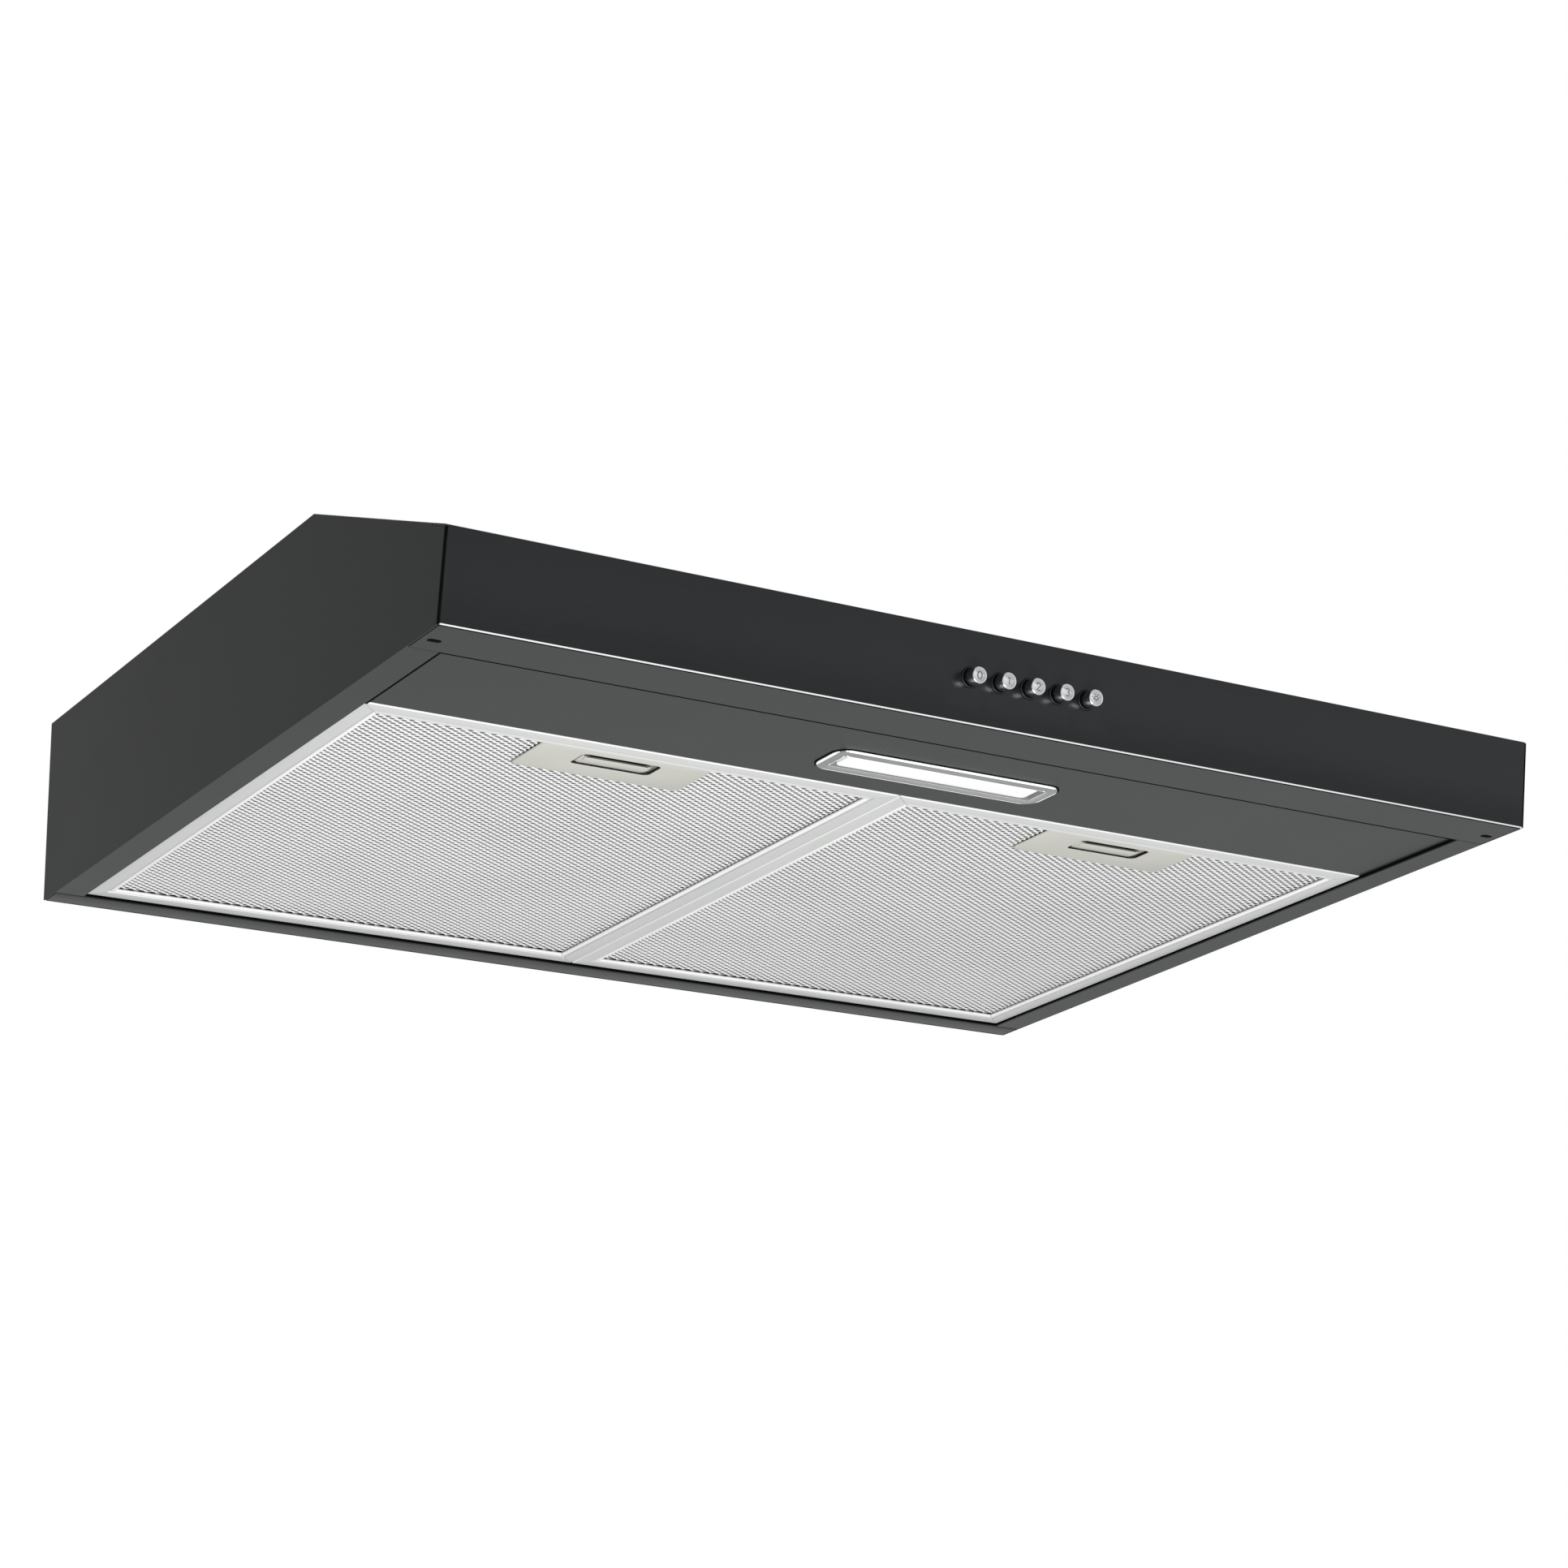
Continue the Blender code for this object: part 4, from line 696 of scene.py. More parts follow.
@dataclass
class BodyShell:
    """Painted sheet metal of the hood: fascia, rims, rear rail and the carried panels."""

    fascia_sheet: float = 1.2 * MM
    fascia_height: float = 43 * MM
    fascia_return: float = 14 * MM
    slope_end: float = 130 * MM
    height: float = 97 * MM
    fold: float = 0.7 * MM
    edge_band: float = 0.5 * MM
    end_shade_width: float = 0.5 * MM
    shade_overlap: float = 0.5 * MM
    bush_hole: float = 4.95 * MM
    even_half: float = 290 * MM
    strip_half: float = 284 * MM
    strip_front: float = 1.9 * MM
    strip_side: float = 1.3 * MM

    def fascia(self) -> None:
        """Leaning front: folded sheet with a painted highlight on its rolled bottom edge and five holes, and
        matt black strips of painted shade at both ends.
        """
        lean = SHAPE.upward
        inward = SHAPE.inward
        top = lean[1:] * (self.fascia_height / lean[2])
        slope = np.array([self.slope_end - top[0], self.height - self.fascia_height])
        slope = slope / np.linalg.norm(slope)
        down = np.array([slope[1], -slope[0]])
        half = self.fascia_sheet / 2
        across = (inward[1:] + down) / np.linalg.norm(inward[1:] + down)
        foot = inward[1:] * half + lean[1:] * half
        corner = top + across * (half / float(across @ inward[1:]))
        tail = top + slope * (self.fascia_return - half) + down * half
        origin = np.array([SHAPE.front, SHAPE.floor])
        outline = sheet_outline([foot, corner, tail], self.fold, self.fascia_sheet) + origin
        end = SHAPE.half - self.end_shade_width
        stations = np.concatenate([[-end], np.linspace(-self.even_half, self.even_half, 25), [end]])
        # Matt black strips of painted shade stand for the dark gaps between the fascia's ends and the side
        # panels; a strip in body paint covers the gap behind the top return.
        shade_piece = Piece("fascia_end_shade_and_cover", "hood", "black_plastic", smooth=40.0)
        face = sheet_outline([foot, corner - lean[1:] * half], 0.0, self.fascia_sheet)
        sunk = down * 0.25 * MM
        top_strip = sheet_outline([corner + sunk, tail + sunk], 0.0, self.fascia_sheet)
        for sign in (-1.0, 1.0):
            reach = sorted((sign * (end - self.shade_overlap), sign * SHAPE.half))
            shade_piece.add(pushed_x(face + origin, reach), SEAM_SHADE_PAINT)
            shade_piece.add(pushed_x(top_strip + origin, np.array(reach) - sign * 0.04 * MM), BODY_PAINT)
        shade_piece.build()
        piece = Piece("fascia", "hood", "gloss_dark_grey", ("front_fascia",))
        piece.add(pushed_x(outline, stations), FASCIA_PAINT)
        made = piece.build()
        drill = turned([(-6 * MM, self.bush_hole), (8 * MM, self.bush_hole)], Controls.around)
        cut_round(made, [stack(Controls().placed(drill, x)) for x in Controls().spots])
        self.bright_edge(made)
        soften(made, 0.25 * MM)

    def bright_edge(self, made: bpy.types.Object) -> None:
        """Give the rolled bottom edge of the fascia a painted highlight.

        Args:
            made: the fascia.
        """
        mesh = made.data
        mesh.materials.append(EDGE_HIGHLIGHT_PAINT.material())
        # Faces along the bottom edge take the painted highlight, the rest keep the fascia paint.
        low = centres_of(mesh)[:, 2] < SHAPE.floor + self.edge_band
        mesh.polygons.foreach_set("material_index", low.astype(np.int32))

    def rear_rail(self) -> None:
        """Channel under the back edge, its bottom edges rolled over."""
        low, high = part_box("rear_filter_rail")
        ledge = high.z - 0.5 * MM
        front = low.y + 1.1 * MM
        web = low.y + 5.5 * MM
        corners = [(front, ledge), (web, ledge), (web, SHAPE.floor + 0.5 * MM)]
        upper = sheet_outline(corners, 0.8 * MM, 1.0 * MM)
        edge = low.y + 0.7 * MM
        strip = sheet_outline([(edge, SHAPE.floor + 2.0 * MM), (edge, SHAPE.floor + 0.5 * MM),
                               (high.y - 0.5 * MM, SHAPE.floor + 0.5 * MM)], 0.9 * MM, 1.0 * MM)
        piece = Piece("rear_rail", "hood", "satin_dark_grey", ("rear_filter_rail",))
        ends = [low.x, high.x]
        piece.add(pushed_x(upper, ends), BODY_PAINT).add(pushed_x(strip, ends), BODY_PAINT)
        soften(piece.build(), 0.2 * MM)
        # Matt black strip of painted shade: the dark line in the seam in front of the rail.
        shade_piece = Piece("rear_rail_seam_shade", "hood", "black_plastic", smooth=40.0)
        shade_piece.add(box_shell((low.x, low.y + 0.1 * MM, SHAPE.floor + 0.4 * MM),
                           (high.x, edge - 0.4 * MM, SHAPE.floor + 2.2 * MM)), SEAM_SHADE_PAINT)
        shade_piece.build()

    def shade_seams(self) -> None:
        """Thin matt black strips of painted shade in the seams between the lamp panel and the rims."""
        low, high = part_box("lamp_panel")
        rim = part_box("front_bottom_rim")[1].y
        z = SHAPE.floor + 0.25 * MM
        far, near, behind = self.strip_half, self.strip_half - self.strip_side, rim + self.strip_front
        piece = Piece("rim_seam_shade", "hood", "black_plastic", smooth=40.0)
        piece.add(box_shell((-far, rim, z), (far, behind, low.z)), SEAM_SHADE_PAINT)
        for left, right in ((-far, -near), (near, far)):
            piece.add(box_shell((left, behind, z), (right, high.y, low.z)), SEAM_SHADE_PAINT)
        piece.build()

    def carried(self) -> None:
        """Dress the flat CAD panels and round their edges."""
        for name, width in (("left_side_panel", 0.45), ("right_side_panel", 0.45), ("top_panel", 0.3),
                            ("slope_panel", 0.3), ("back_panel", 0.3), ("lamp_panel", 0.3),
                            ("front_bottom_rim", 0.35)):
            dress(name, BODY_PAINT, width * MM)


def dress(name: str, finish: Finish, width: float = 0.0) -> None:
    """Give a carried CAD node its finish and, if asked, rounded edges.

    Args:
        name: CAD node.
        finish: its finish.
        width: rounding of its edges, 0 for none.
    """
    node = frame["nodes"][name]
    node.data.materials.clear()
    node.data.materials.append(finish.material())
    if width > 0.0:
        soften(node, width, weld=True)
    LOG.info("node %s: %s", name, finish.name)


# ----------------------------------------------------------------------------- controls

@dataclass
class Stroke:
    """A line mark on a button face: its centre line in millimetres."""

    points: np.ndarray
    width: float = 0.42 * MM
    high: float = 0.07 * MM

    def shell(self, x: float, up: float, out: float) -> Shell:
        """Flat ribbon: the line set off half a width each way, lifted off the face.

        Args:
            x: middle of the button across the hood.
            up: middle of the button up the fascia.
            out: how far the face stands out of the fascia.

        Returns:
            The closed ribbon.
        """
        left, right = ribbon_sides(self.points * MM, self.width)
        low, top = out - 0.03 * MM, out + self.high
        rings = []
        for flat, rise in ((left, low), (left, top), (right, top), (right, low)):
            rings.append(SHAPE.on_front(x + flat[:, 0], up + flat[:, 1], np.full(len(flat), -rise)))
        return stack(np.array(rings).transpose(1, 0, 2))


class Mark(Enum):
    """What each button shows."""

    OFF = "off"
    ONE = "speed_1"
    TWO = "speed_2"
    THREE = "speed_3"
    LIGHT = "light"

    def strokes(self) -> list:
        """Centre lines of the mark, in millimetres round the button's middle."""
        if self is Mark.OFF:
            turn = np.linspace(0.0, math.tau, 25)
            lines = [np.column_stack([1.15 * np.cos(turn), 1.75 * np.sin(turn)])]
        elif self is Mark.ONE:
            lines = [[[-0.8, 0.9], [0.1, 1.7], [0.1, 0.6], [0.1, -0.6], [0.1, -1.75]]]
        elif self is Mark.TWO:
            top = arc(0.0, 0.75, 1.0, 170, -25, 12)
            lines = [np.concatenate([top, [[-0.1, -0.7], [-1.05, -1.65], [0.0, -1.68], [1.1, -1.65]]])]
        elif self is Mark.THREE:
            upper, lower = arc(-0.05, 0.85, 0.88, 150, -80, 11), arc(-0.05, -0.8, 0.95, 80, -150, 12)
            lines = [np.concatenate([upper, lower])]
        else:
            shade = [[[-1.5, -0.55], [0.0, -0.55], [1.5, -0.55]], [[-0.6, -1.35], [0.0, -1.35], [0.6, -1.35]]]
            turns = np.radians([25, 65, 115, 155])
            rays = [np.outer([1.75, 2.45], [np.cos(turn), np.sin(turn)]) + [0.0, -0.5] for turn in turns]
            lines = [arc(0.0, -0.5, 1.15, 0, 180, 14), *shade, *rays]
        return [Stroke(np.array(line)) for line in lines]


@dataclass
class Controls:
    """Five chromed push buttons in black bushes, and the switch bank behind them."""

    pitch: float = 16.2 * MM
    height: float = 21.5 * MM
    radius: float = 3.95 * MM
    proud: float = 8.1 * MM
    stem: float = 2.3 * MM
    depth: float = 10.4 * MM
    flange: float = 6.6 * MM
    around: int = 40

    @property
    def spots(self) -> np.ndarray:
        """Positions across the fascia."""
        return np.arange(-2, 3) * self.pitch

    def placed(self, rings: np.ndarray, x: float) -> np.ndarray:
        """Turned rings set on a button's axis."""
        return SHAPE.on_front(x + rings[..., 1], self.height + rings[..., 2], rings[..., 0])

    def cap(self, mark: Mark, x: float) -> None:
        """Chromed cap with a rounded rim, a shallow dished face and its mark.

        Args:
            mark: what it shows.
            x: its place across the hood.
        """
        face = -self.proud + 0.18 * MM
        edge = arc(0.0, 0.0, 0.45 * MM, 90, 0, 5)
        rim = [(-self.proud + 0.45 * MM - a, self.radius - 0.45 * MM + b) for b, a in edge]
        neck = self.radius - 0.15 * MM
        profile = [(face, AXIS), (face, 2.85 * MM), (-self.proud + 0.03 * MM, 3.05 * MM), *rim,
                   (-1.6 * MM, self.radius), (-1.4 * MM, neck), (-0.6 * MM, neck),
                   (-0.6 * MM, self.stem), (self.depth, self.stem), (self.depth, AXIS)]
        name = "button_" + mark.value
        piece = Piece(name + "_cap", name, "chrome", (name,), smooth=40.0)
        piece.add(stack(self.placed(turned(profile, self.around), x)), CHROME)
        for stroke in mark.strokes():
            piece.add(stroke.shell(x, self.height, -face), ENGRAVED)

        def sides(centres: np.ndarray) -> np.ndarray:
            """Number 2 on the round side of the cap, -1 on its face."""
            inward = (centres - np.array([0.0, SHAPE.front, SHAPE.floor])) @ SHAPE.inward
            return np.where(inward > 0.55 * MM - self.proud, 2, -1)

        piece.build(sides, [CHROME_SIDE])

    def bush(self, mark: Mark, x: float) -> None:
        """Black bush with a rounded lip round the cap.

        Args:
            mark: the button it holds.
            x: its place across the hood.
        """
        inner = self.radius + 0.25 * MM
        lip = arc(0.0, 0.0, 0.27 * MM, 180, 0, 7)
        nose = [(-0.35 * MM - b, inner + 0.27 * MM + a) for a, b in lip]
        profile = [(3.0 * MM, inner), *nose, (1.5 * MM, inner + 0.54 * MM), (1.5 * MM, self.flange),
                   (3.0 * MM, self.flange)]
        name = "button_bush_" + mark.value
        piece = Piece("bush_" + mark.value, "hood", "black_plastic", (name,), smooth=40.0)
        piece.add(stack(self.placed(turned(profile, self.around), x), closed=True), BLACK_PLASTIC)
        piece.build()

    def build(self) -> None:
        """Make every button and dress the switch bank."""
        for mark, x in zip(Mark, self.spots):
            self.cap(mark, float(x))
            self.bush(mark, float(x))
        dress("switch_bank", BLACK_PLASTIC, 0.4 * MM)


# ----------------------------------------------------------------------------- lamp

@dataclass
class Lamp:
    """Lamp in the panel behind the fascia: bezel, diffuser and what stands above them."""

    half_width: float = 63 * MM
    half_length: float = 14 * MM
    corner: float = 8 * MM
    window_x: float = 54 * MM
    window_y: float = 7.5 * MM
    ledge: float = 4 * MM

    def bezel(self) -> None:
        """Bezel ring: rounded outer edge with a painted, faintly glowing highlight, flat smoky face, small
        step down to the window.
        """
        low, high, middle, _ = extent("lamp_bezel")
        z0 = low.z
        step = self.half_length - self.window_y
        rounding = mm((0.0, 0.8), (0.0, 0.45), (0.12, 0.2), (0.35, 0.05), (0.7, 0.0), (1.0, 0.0),
                      base=(0.0, z0))
        bead = mm((-0.7, 0.1), (-0.45, -0.08), (-0.2, -0.1), (0.0, 0.1), base=(step, z0))
        outer = [*rounding, *bead, (step, high.z), (self.ledge, high.z), (self.ledge, z0 + 0.8 * MM)]
        shell = lofted(outer, self.half_width, self.half_length, self.corner, middle, 9, closed=True)
        piece = Piece("lamp_bezel_ring", "hood", "clear_grey_plastic", ("lamp_bezel",), smooth=50.0)
        piece.add(shell, BEZEL_PLASTIC)
        half = np.array([self.half_width, self.half_length])
        inner_bead = step - 0.35 * MM

        def edges(centres: np.ndarray) -> np.ndarray:
            """Number 1, the painted highlight, on the outer rounding and on the bead round the window."""
            inset = (half - np.abs(centres[:, :2] - np.array(middle))).min(axis=1)
            bright = (inset < 1.05 * MM) | (np.abs(inset - inner_bead) < 0.22 * MM)
            return (bright & (centres[:, 2] < z0 + 0.75 * MM)).astype(int)

        piece.build(edges, [BEZEL_HIGHLIGHT_PAINT])

    def shade_ring(self) -> None:
        """Matt black ring of painted shade under the bezel, standing out a little at both ends."""
        low, _, middle, _ = extent("lamp_bezel")
        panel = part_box("lamp_panel")[0].z
        top = low.z + 0.75 * MM
        ring = [(0.0, panel), (0.0, top), (self.ledge, top), (self.ledge, panel)]
        shell = lofted(ring, self.half_width + 1.0 * MM, self.half_length + 0.55 * MM, self.corner + 0.6 * MM,
                       middle, 9, closed=True)
        Piece("lamp_ring_shade", "hood", "black_plastic").add(shell, SEAM_SHADE_PAINT).build()

    def diffuser(self) -> None:
        """Frosted diffuser, slightly domed, standing in the window."""
        low, high, middle, half = extent("lamp_diffuser")
        fit = 0.4 * MM
        dome = mm((3.5, -0.05), (1.2, 0.0), (0.4, 0.12), (0.0, 0.5), base=(0.0, low.z))
        lens = lofted([*dome, (0.0, high.z - 1.0 * MM)], self.window_x - fit, self.window_y - fit, 2.6 * MM,
                      middle, 7)
        flange = mm((0.3, -1.0), (0.0, -0.7), (0.0, -0.2), (0.2, 0.0), base=(0.0, high.z))
        brim = lofted(flange, *half, 1.5 * MM, middle, 5)
        piece = Piece("lamp_lens", "hood", "frosted_diffuser", ("lamp_diffuser",), smooth=50.0)
        piece.add(lens, DIFFUSER).add(brim, DIFFUSER).build()

    def build(self) -> None:
        """Make the lamp and dress what stands behind it."""
        self.bezel()
        self.shade_ring()
        self.diffuser()
        dress("led_board", BOARD_LACQUER)
        dress("lamp_housing", GREY_PLASTIC, 0.4 * MM)
        dress("led_driver", WHITE_PLASTIC, 0.6 * MM)


# ----------------------------------------------------------------------------- filters

@dataclass
class GreaseFilter:
    """Aluminium grease filter: mitred channel frame, expanded mesh, latch plate and slider.

    Attributes:
        side: "left" or "right".
    """

    side: str
    rail: float = 12 * MM
    drop: float = 0.75 * MM
    mitre: float = 0.16 * MM
    tab_spots: tuple = (-90 * MM, 90 * MM)
    tab_half: float = 12 * MM
    tab_reach: float = 4.8 * MM
    sheet: float = 1.0 * MM
    cell_x: float = 5.95 * MM
    cell_y: float = 1.89 * MM
    tuck: float = 1.0 * MM
    strand: float = 1.08 * MM
    steep: float = 1.45
    swing: float = 0.46
    foil: float = 0.25 * MM
    tilt: float = 6.0
    twist: float = 19.0
    upper_coarse: float = 1.6
    plate_half: float = 45 * MM
    slot_half: float = 21 * MM
    slot_front: float = 5.6 * MM
    slot_long: float = 7.75 * MM
    slot_corner: float = 3.0 * MM
    bar_long: float = 5.6 * MM

    @property
    def body(self) -> str:
        """Body that the filter rides on."""
        return "filter_" + self.side

    @property
    def box(self) -> tuple[Vector, Vector]:
        """Corners of the frame without its rear tabs."""
        low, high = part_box(self.body + "_frame")
        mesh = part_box(self.body + "_upper_mesh")[1]
        return Vector((low.x, low.y, low.z - self.drop)), Vector((high.x, mesh.y + 1.3 * MM, high.z))

    def rail_profile(self) -> np.ndarray:
        """Channel outline in (inset, height): rounded outer edge, flat, groove and bead at the mesh."""
        deep = self.box[1].z - self.box[0].z
        outer = arc(0.7 * MM, 0.7 * MM, 0.7 * MM, 180, 270, 5)
        groove = mm((8.3, 0.0), (8.45, 0.2), (8.6, 0.9))
        turn = np.linspace(0.0, math.pi, 9)
        bead = np.column_stack([10.45 * MM - 1.45 * MM * np.cos(turn), 0.8 * MM - 0.8 * MM * np.sin(turn)])
        rail, sheet = self.rail, self.sheet
        lip = [(rail, 1.1 * MM), (rail - 0.3 * MM, 1.6 * MM), (7.6 * MM, 1.6 * MM), (7.2 * MM, sheet)]
        back = [(sheet, sheet), (sheet, deep - sheet), (rail, deep - sheet), (rail, deep),
                (0.6 * MM, deep), (0.0, deep - 0.6 * MM)]
        return np.concatenate([outer, groove, bead, lip, back])

    def frame(self) -> None:
        """Four channel rails with mitred ends a hair apart, and the two rear tabs."""
        low, high = self.box
        profile = self.rail_profile()
        inset, height = profile[:, 0], profile[:, 1] + low.z
        piece = Piece(self.body + "_rails", self.body, "brushed_aluminium", (self.body + "_frame",),
                      smooth=30.0)
        for y, sign in ((low.y, 1.0), (high.y, -1.0)):
            ends = [np.column_stack([x0 + turn * (inset + self.mitre), y + sign * inset, height])
                    for x0, turn in ((low.x, 1.0), (high.x, -1.0))]
            piece.add(stack(np.array(ends)), RAIL_X)
        for x, sign in ((low.x, 1.0), (high.x, -1.0)):
            ends = [np.column_stack([x + sign * inset, y0 + turn * (inset + self.mitre), height])
                    for y0, turn in ((low.y, 1.0), (high.y, -1.0))]
            piece.add(stack(np.array(ends)), RAIL_Y)
        middle = (low.x + high.x) / 2
        for spot in self.tab_spots:
            left, z = middle + spot - self.tab_half, low.z + 7.0 * MM
            far = (left + 2 * self.tab_half, high.y + self.tab_reach, z + self.sheet)
            piece.add(box_shell((left, high.y - 0.5 * MM, z), far), RAIL_X)

        def edges(centres: np.ndarray) -> np.ndarray:
            """Number 2, the painted highlight, on the rounded outer edge and on the bead, -1 elsewhere."""
            flat = centres[:, :2]
            inset = np.minimum(flat - np.array(low[:2]), np.array(high[:2]) - flat).min(axis=1)
            near_front = centres[:, 1] - low.y < self.rail + 0.2 * MM
            bright = (inset < 0.45 * MM) | (inset > 9.6 * MM) & ~near_front
            return np.where(bright & (centres[:, 2] < low.z + 0.85 * MM), 2, -1)

        piece.build(edges, [RAIL_HIGHLIGHT_PAINT])

    def strands(self, y_low: float, y_high: float, z: float, name: str,
                hole: Optional[tuple[float, float, float]], replaces: tuple[str, ...],
                coarse: float = 1.0) -> None:
        """Expanded metal: strand i runs at y = i rows plus half a row times a clipped triangle wave along x.

        Each strand is a flat ribbon that leans towards the front and twists a little with the wave, and it
        touches the next one where their waves meet.

        Args:
            y_low: front end of the field.
            y_high: rear end.
            z: height of the middle of the sheet.
            name: piece name.
            hole: x low, x high and y high of the cut-out for the latch pocket, or None.
            replaces: CAD nodes it stands for.
            coarse: how much larger the cells are than those of the lower mesh.
        """
        low, high = self.box
        x0, x1 = low.x + self.rail - self.tuck, high.x - self.rail + self.tuck
        cell_x, cell_y = self.cell_x * coarse, self.cell_y * coarse
        bends = np.arange(0.0, (x1 - x0) / cell_x, 0.5)[:, None] + np.array([0.09, 0.25, 0.41])
        x = x0 + np.concatenate([[0.0], bends], axis=None) * cell_x
        x = np.append(x[x < x1 - 0.2 * MM], x1)
        rows = np.arange(math.ceil(y_low / cell_y), math.floor(y_high / cell_y) + 1)
        phase = (x[None, :] - x0) / cell_x + 0.5 * (rows[:, None] % 2)
        wave = np.clip(self.steep * (1.0 - 4.0 * np.abs(phase % 1.0 - 0.5)), -1.0, 1.0)
        line = rows[:, None] * cell_y + wave * cell_y * self.swing
        angle = np.radians(-self.tilt - self.twist * np.sin(math.tau * phase))
        half, thin = self.strand * coarse / 2, self.foil / 2
        sections = np.array([[-half, -thin], [half, -thin], [half, thin], [-half, thin]])
        cos, sin = np.cos(angle)[..., None], np.sin(angle)[..., None]
        across = cos * sections[:, 0] - sin * sections[:, 1]
        above = sin * sections[:, 0] + cos * sections[:, 1]
        piece = Piece(name, self.body, "expanded_aluminium", replaces, smooth=60.0)
        for number, y in enumerate(line):
            spans = [(0, len(x))]
            if hole is not None and y.min() < hole[2]:
                spans = [(0, int(np.searchsorted(x, hole[0]))), (int(np.searchsorted(x, hole[1])), len(x))]
            for start, stop in spans:
                part = slice(start, stop)
                rings = np.stack([np.repeat(x[part, None], 4, 1), y[part, None] + across[number, part],
                                  z + above[number, part]], axis=-1)
                piece.add(stack(rings), MESH_FOIL)
        piece.build()

    def mesh(self) -> None:
        """Lower mesh in two fields, and an inner layer that shows through it."""
        low, high = self.box
        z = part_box(self.body + "_lower_mesh")[0].z + 0.15 * MM
        middle = (low.x + high.x) / 2
        plate_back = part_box(self.body + "_latch_plate")[1].y
        under = 0.6 * MM
        hole = (middle - self.plate_half + under, middle + self.plate_half - under, plate_back - under)
        y0, y1 = low.y + self.rail - self.tuck, high.y - self.rail + self.tuck
        half_way = (y0 + y1) / 2
        node = self.body + "_lower_mesh"
        self.strands(y0, half_way, z, self.body + "_mesh_front", hole, (node,))
        self.strands(half_way, y1, z, self.body + "_mesh_rear", None, ())
        # The inner layers are drawn in the mesh's foil painted darker, as painted shade.
        dress(self.body + "_inner_layers", INNER_FOIL_SHADE)
        upper = self.body + "_upper_mesh"
        top = (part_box(upper)[0].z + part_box(upper)[1].z) / 2 - 0.15 * MM
        self.strands(y0, y1, top, self.body + "_mesh_upper", None, (upper,), self.upper_coarse)

    def latch(self) -> None:
        """Latch plate with its finger pocket, and the slider in it."""
        low, high, middle, half = extent(self.body + "_latch_plate")
        top = low.z + self.sheet
        rounding = mm((0.0, 0.35), (0.1, 0.1), (0.35, 0.0), base=(0.0, low.z))
        plate = lofted([(0.25 * MM, top), (0.0, top - 0.25 * MM), *rounding], *half, 3.5 * MM, middle, 7)
        made = Piece(self.body + "_latch_cover", self.body, "latch_plastic", (self.body + "_latch_plate",),
                     smooth=40.0).add(plate, LATCH_PLASTIC).build()
        centre = (middle[0], low.y + self.slot_front + self.slot_long)
        slot = (self.slot_half, self.slot_long, self.slot_corner, centre, 7)
        cut_round(made, [lofted([(0.0, low.z - 2 * MM), (0.0, top + 2 * MM)], *slot)])
        soften(made, 0.2 * MM)
        roof, foot, wall = high.z, top + 1.2 * MM, 1.0 * MM
        reach = self.slot_long - 0.05 * MM
        cup = [(-wall, foot), (-wall, roof - 0.4 * MM), (-wall + 0.4 * MM, roof), (reach, roof),
               (reach, roof - wall), (0.9 * MM, roof - wall), (0.0, roof - wall - 0.9 * MM), (0.0, foot)]
        # The thin matt black band round the slot's seam is painted shade.
        seam = mm((0.0, 0.45), (0.25, 0.45), (0.25, 0.8), (0.0, 0.8), base=(0.0, low.z))
        pocket = Piece(self.body + "_latch_pocket", self.body, "latch_plastic", smooth=45.0)
        pocket.add(lofted(cup, *slot, closed=True), LATCH_PLASTIC)
        pocket.add(lofted(seam, *slot, closed=True), SEAM_SHADE_PAINT).build()

    def slider(self) -> None:
        """Slider: a thumb bar with a rounded front edge and its tongue reaching under the ledge."""
        low, high, (middle, _), _ = extent(self.body + "_latch_slider")
        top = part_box(self.body + "_latch_plate")[0].z + self.sheet
        back = high.y
        front = back - self.bar_long
        edge = mm((0.6, 0.0), (0.2, 0.12), (0.0, 0.5), base=(0.0, low.z))
        bar = lofted([*edge, (0.0, high.z - 0.3 * MM), (0.3 * MM, high.z)], (high.x - low.x) / 2,
                     (back - front) / 2, 1.8 * MM, (middle, (front + back) / 2), 6)
        tip = back - 1.0 * MM
        tongue = lofted(mm((0.3, -2.0), (0.0, -1.7), (0.0, -0.5), (0.3, -0.2), base=(0.0, high.z)), 7 * MM,
                        (tip - low.y) / 2, 1.5 * MM, (middle, (low.y + tip) / 2), 5)
        face = lofted(mm((0.3, 0.08), (0.0, 0.3), (0.0, 1.0), base=(0.0, top)), 18.6 * MM, 4.85 * MM,
                      2.4 * MM, (middle, front + 4.85 * MM), 6)
        piece = Piece(self.body + "_latch_bar", "latch_" + self.side, "latch_plastic",
                      (self.body + "_latch_slider",), smooth=45.0)
        for shell in (bar, tongue, face):
            piece.add(shell, LATCH_PLASTIC)

        def shaded(centres: np.ndarray) -> np.ndarray:
            """Number 1, painted shade, on the front of the bar, which the pocket shades, -1 elsewhere."""
            ahead = np.abs(centres[:, 1] - front) < 0.6 * MM
            return np.where(ahead & (centres[:, 2] > low.z + 0.3 * MM), 1, -1)

        piece.build(shaded, [SLIDER_SHADE_PAINT])

    def build(self) -> None:
        """Make the whole filter."""
        self.frame()
        self.mesh()
        self.latch()
        self.slider()


# ----------------------------------------------------------------------------- fan, outlet and electrics

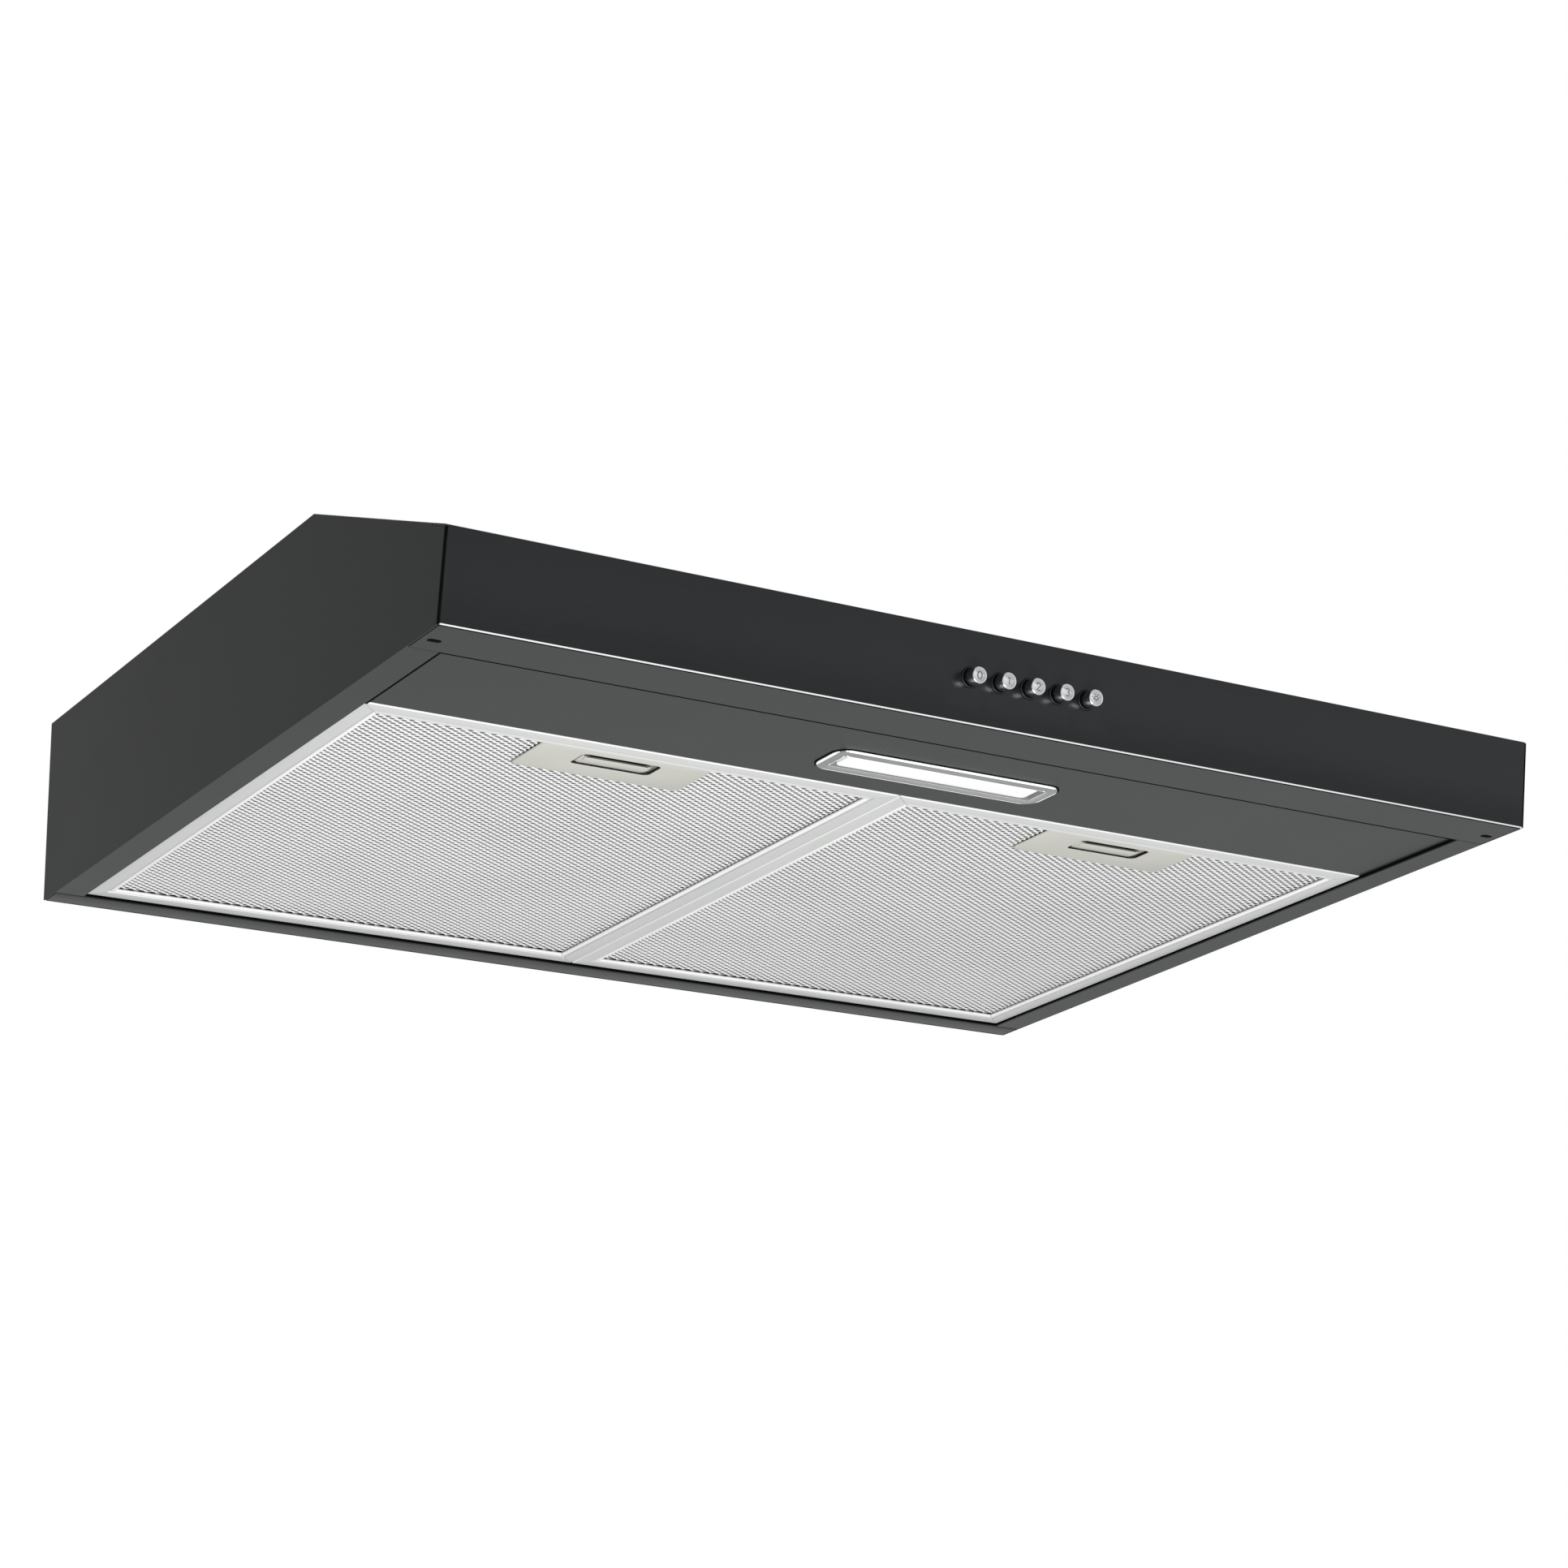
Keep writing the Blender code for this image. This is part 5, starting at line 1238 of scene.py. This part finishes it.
@dataclass
class Workings:
    """What stands inside and on top of the hood."""

    blades: int = 24
    blade: float = 0.9 * MM
    blade_lead: float = 16.0
    blade_curl: float = 1.6
    around: int = 48

    def carried(self) -> None:
        """Dress the CAD nodes whose shape is already right."""
        wide = {
            (GALVANISED, 0.3): ("filter_catch_ledge", "fan_casing", "fan_inlet_plate_left",
                                "fan_inlet_plate_right", "motor_support_left", "motor_support_right"),
            (MOTOR_ENAMEL, 0.6): ("fan_motor",),
            (STEEL, 0.3): ("fan_shaft",),
            (WHITE_PLASTIC, 0.5): ("capacitor",),
            (BLACK_PLASTIC, 0.4): ("duct_collar", "terminal_box", "terminal_box_cover", "cable_grommet"),
            (STEEL, 0.2): ("flap_pin", "fan_screw_1", "fan_screw_2", "fan_screw_3", "fan_screw_4"),
            (GREY_PLASTIC, 0.25): ("duct_flap_left", "duct_flap_right"),
        }
        for (finish, width), names in wide.items():
            for name in names:
                dress(name, finish, width * MM)

    def impeller(self, side: str, sign: float) -> None:
        """Squirrel cage: blade j is an arc in section, swept along the axis between disc and ring.

        Args:
            side: "left" or "right".
            sign: -1 on the left, 1 on the right.
        """
        low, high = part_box("impeller_" + side)
        axis_y, axis_z = (low.y + high.y) / 2, (low.z + high.z) / 2
        inner_x, outer_x = (low.x, high.x) if sign > 0 else (high.x, low.x)
        radius, length = (high.y - low.y) / 2, abs(outer_x - inner_x)

        def place(rings: np.ndarray) -> np.ndarray:
            """Turned rings put on the fan's axis, measured from the disc's outer face."""
            return np.stack([inner_x + sign * rings[..., 0], axis_y + rings[..., 1],
                             axis_z + rings[..., 2]], axis=-1)

        disc_edge = mm((0.0, -0.4), (0.4, 0.0), (1.6, 0.0), (2.0, -0.4), base=(0.0, radius))
        hub = mm((2.0, 10.5), (3.0, 9.0), (13.6, 8.0), (14.0, 7.6), (14.0, 4.3))
        disc = [(0.0, 4.3 * MM), *disc_edge, *hub]
        ring = mm((-2.2, -5.0), (-2.2, -0.3), (-1.9, 0.0), (-0.3, 0.0), (0.0, -0.3), (0.0, -5.0),
                  base=(length, radius))
        piece = Piece("impeller_cage_" + side, "fan_rotor", "black_plastic", ("impeller_" + side,),
                      smooth=40.0)
        for profile in (disc, ring):
            piece.add(stack(place(turned(profile, self.around)), closed=True), BLACK_PLASTIC)
        share = np.linspace(0.0, 1.0, 6)
        reach = (radius - 4.9 * MM) + share * 4.6 * MM
        lead = np.radians(self.blade_lead) * share ** self.blade_curl
        for number in range(self.blades):
            turn = math.tau * number / self.blades + lead
            middle = np.column_stack([reach * np.cos(turn), reach * np.sin(turn)])
            left, right = ribbon_sides(middle, self.blade)
            outline = np.concatenate([left, right[::-1]])
            rings = np.array([np.column_stack([np.full(len(outline), distance), outline])
                              for distance in (1.0 * MM, length - 1.0 * MM)])
            piece.add(stack(place(rings)), BLACK_PLASTIC)
        piece.build()

    def build(self) -> None:
        """Dress and make everything inside."""
        self.carried()
        self.impeller("left", -1.0)
        self.impeller("right", 1.0)


# ----------------------------------------------------------------------------- room, light and camera

@dataclass
class Studio:
    """Plain pale floor, soft light and the camera."""

    right: tuple = (0.8559446, -0.5168, -0.0166342)
    upright: tuple = (-0.1489867, -0.2773082, 0.9491592)
    back: tuple = (-0.4951382, -0.8099493, -0.3143568)
    spot: tuple = (-0.96652, -1.572123, -0.671969)
    lens: float = 88.3252
    sensor: float = 36.0
    far: float = 50.0
    floor_z: float = -2.60
    floor_half: float = 30.0
    floor_thick: float = 0.02
    brighter: tuple = (0.58, 0.0, -0.81)
    room: tuple = (0.06, 1.15)
    wash: float = 0.62

    def camera(self) -> None:
        """Camera below and in front of the left side, looking up at the hood."""
        data = bpy.data.cameras.new("camera")
        data.sensor_width = self.sensor
        data.lens = self.lens
        data.clip_end = self.far
        made = placed_object("camera", data)
        axes = Matrix((self.right, self.upright, self.back)).transposed()
        made.matrix_world = Matrix.Translation(self.spot) @ axes.to_4x4()
        bpy.context.scene.camera = made

    def floor(self) -> None:
        """Wide pale floor well below the hood."""
        half = self.floor_half
        slab = box_shell((-half, -half, self.floor_z - self.floor_thick), (half, half, self.floor_z))
        mesh = skin_mesh("floor", [slab])
        mesh.materials.append(PALE_FLOOR.material())
        placed_object("floor", mesh)

    def area(self, name: str, spot: Sequence[float], aim: Sequence[float], size: float, power: float) -> None:
        """One soft square light.

        Args:
            name: its name.
            spot: where it stands.
            aim: what it looks at.
            size: side of the square.
            power: watts.
        """
        data = bpy.data.lights.new(name, "AREA")
        data.size = size
        data.energy = power
        made = placed_object(name, data)
        made.location = spot
        made.rotation_mode = "QUATERNION"
        made.rotation_quaternion = (Vector(aim) - Vector(spot)).to_track_quat("-Z", "Y")

    def lights(self) -> None:
        """Soft lights, and a surround that is plain white to the camera.

        For reflections the surround's strength runs evenly from the first to the second number of room,
        with the share of a ray's direction that lies along brighter. Wash is its strength for light that
        is scattered between surfaces.
        """
        self.area("key_low_front", (-0.3, -1.1, -1.15), (0.0, 0.0, -0.08), 0.7, 22.0)
        self.area("top_soft", (0.2, 0.9, 2.0), (0.0, 0.0, -0.3), 2.2, 32.0)
        world = bpy.data.worlds.new("studio")
        world.use_nodes = True
        nodes, link = world.node_tree.nodes, world.node_tree.links.new
        sky, path = nodes["Background"], nodes.new("ShaderNodeLightPath").outputs
        sky.inputs["Color"].default_value = (1.0, 1.0, 1.0, 1.0)
        lean = nodes.new("ShaderNodeVectorMath")
        lean.operation = "DOT_PRODUCT"
        lean.inputs[1].default_value = self.brighter
        link(nodes.new("ShaderNodeTexCoord").outputs["Generated"], lean.inputs[0])
        room = nodes.new("ShaderNodeMapRange")
        for key, value in (("From Min", -1.0), ("To Min", self.room[0]), ("To Max", self.room[1])):
            room.inputs[key].default_value = value
        link(lean.outputs["Value"], room.inputs["Value"])
        value = room.outputs["Result"]
        for ray, strength in (("Is Diffuse Ray", self.wash), ("Is Camera Ray", 1.0)):
            level = nodes.new("ShaderNodeMix")
            level.data_type = "FLOAT"
            level.inputs["B"].default_value = strength
            link(path[ray], level.inputs["Factor"])
            link(value, level.inputs["A"])
            value = level.outputs["Result"]
        link(value, sky.inputs["Strength"])
        bpy.context.scene.world = world
        bpy.context.scene.view_settings.view_transform = "Standard"

    def build(self) -> None:
        """Set the camera, the floor and the lights."""
        self.camera()
        self.floor()
        self.lights()


def main() -> None:
    """Build every sub-assembly in order."""
    Studio().build()
    shell = BodyShell()
    shell.fascia()
    shell.rear_rail()
    shell.shade_seams()
    shell.carried()
    Controls().build()
    Lamp().build()
    for side in ("left", "right"):
        GreaseFilter(side).build()
    Workings().build()


if __name__ == "__main__":
    main()
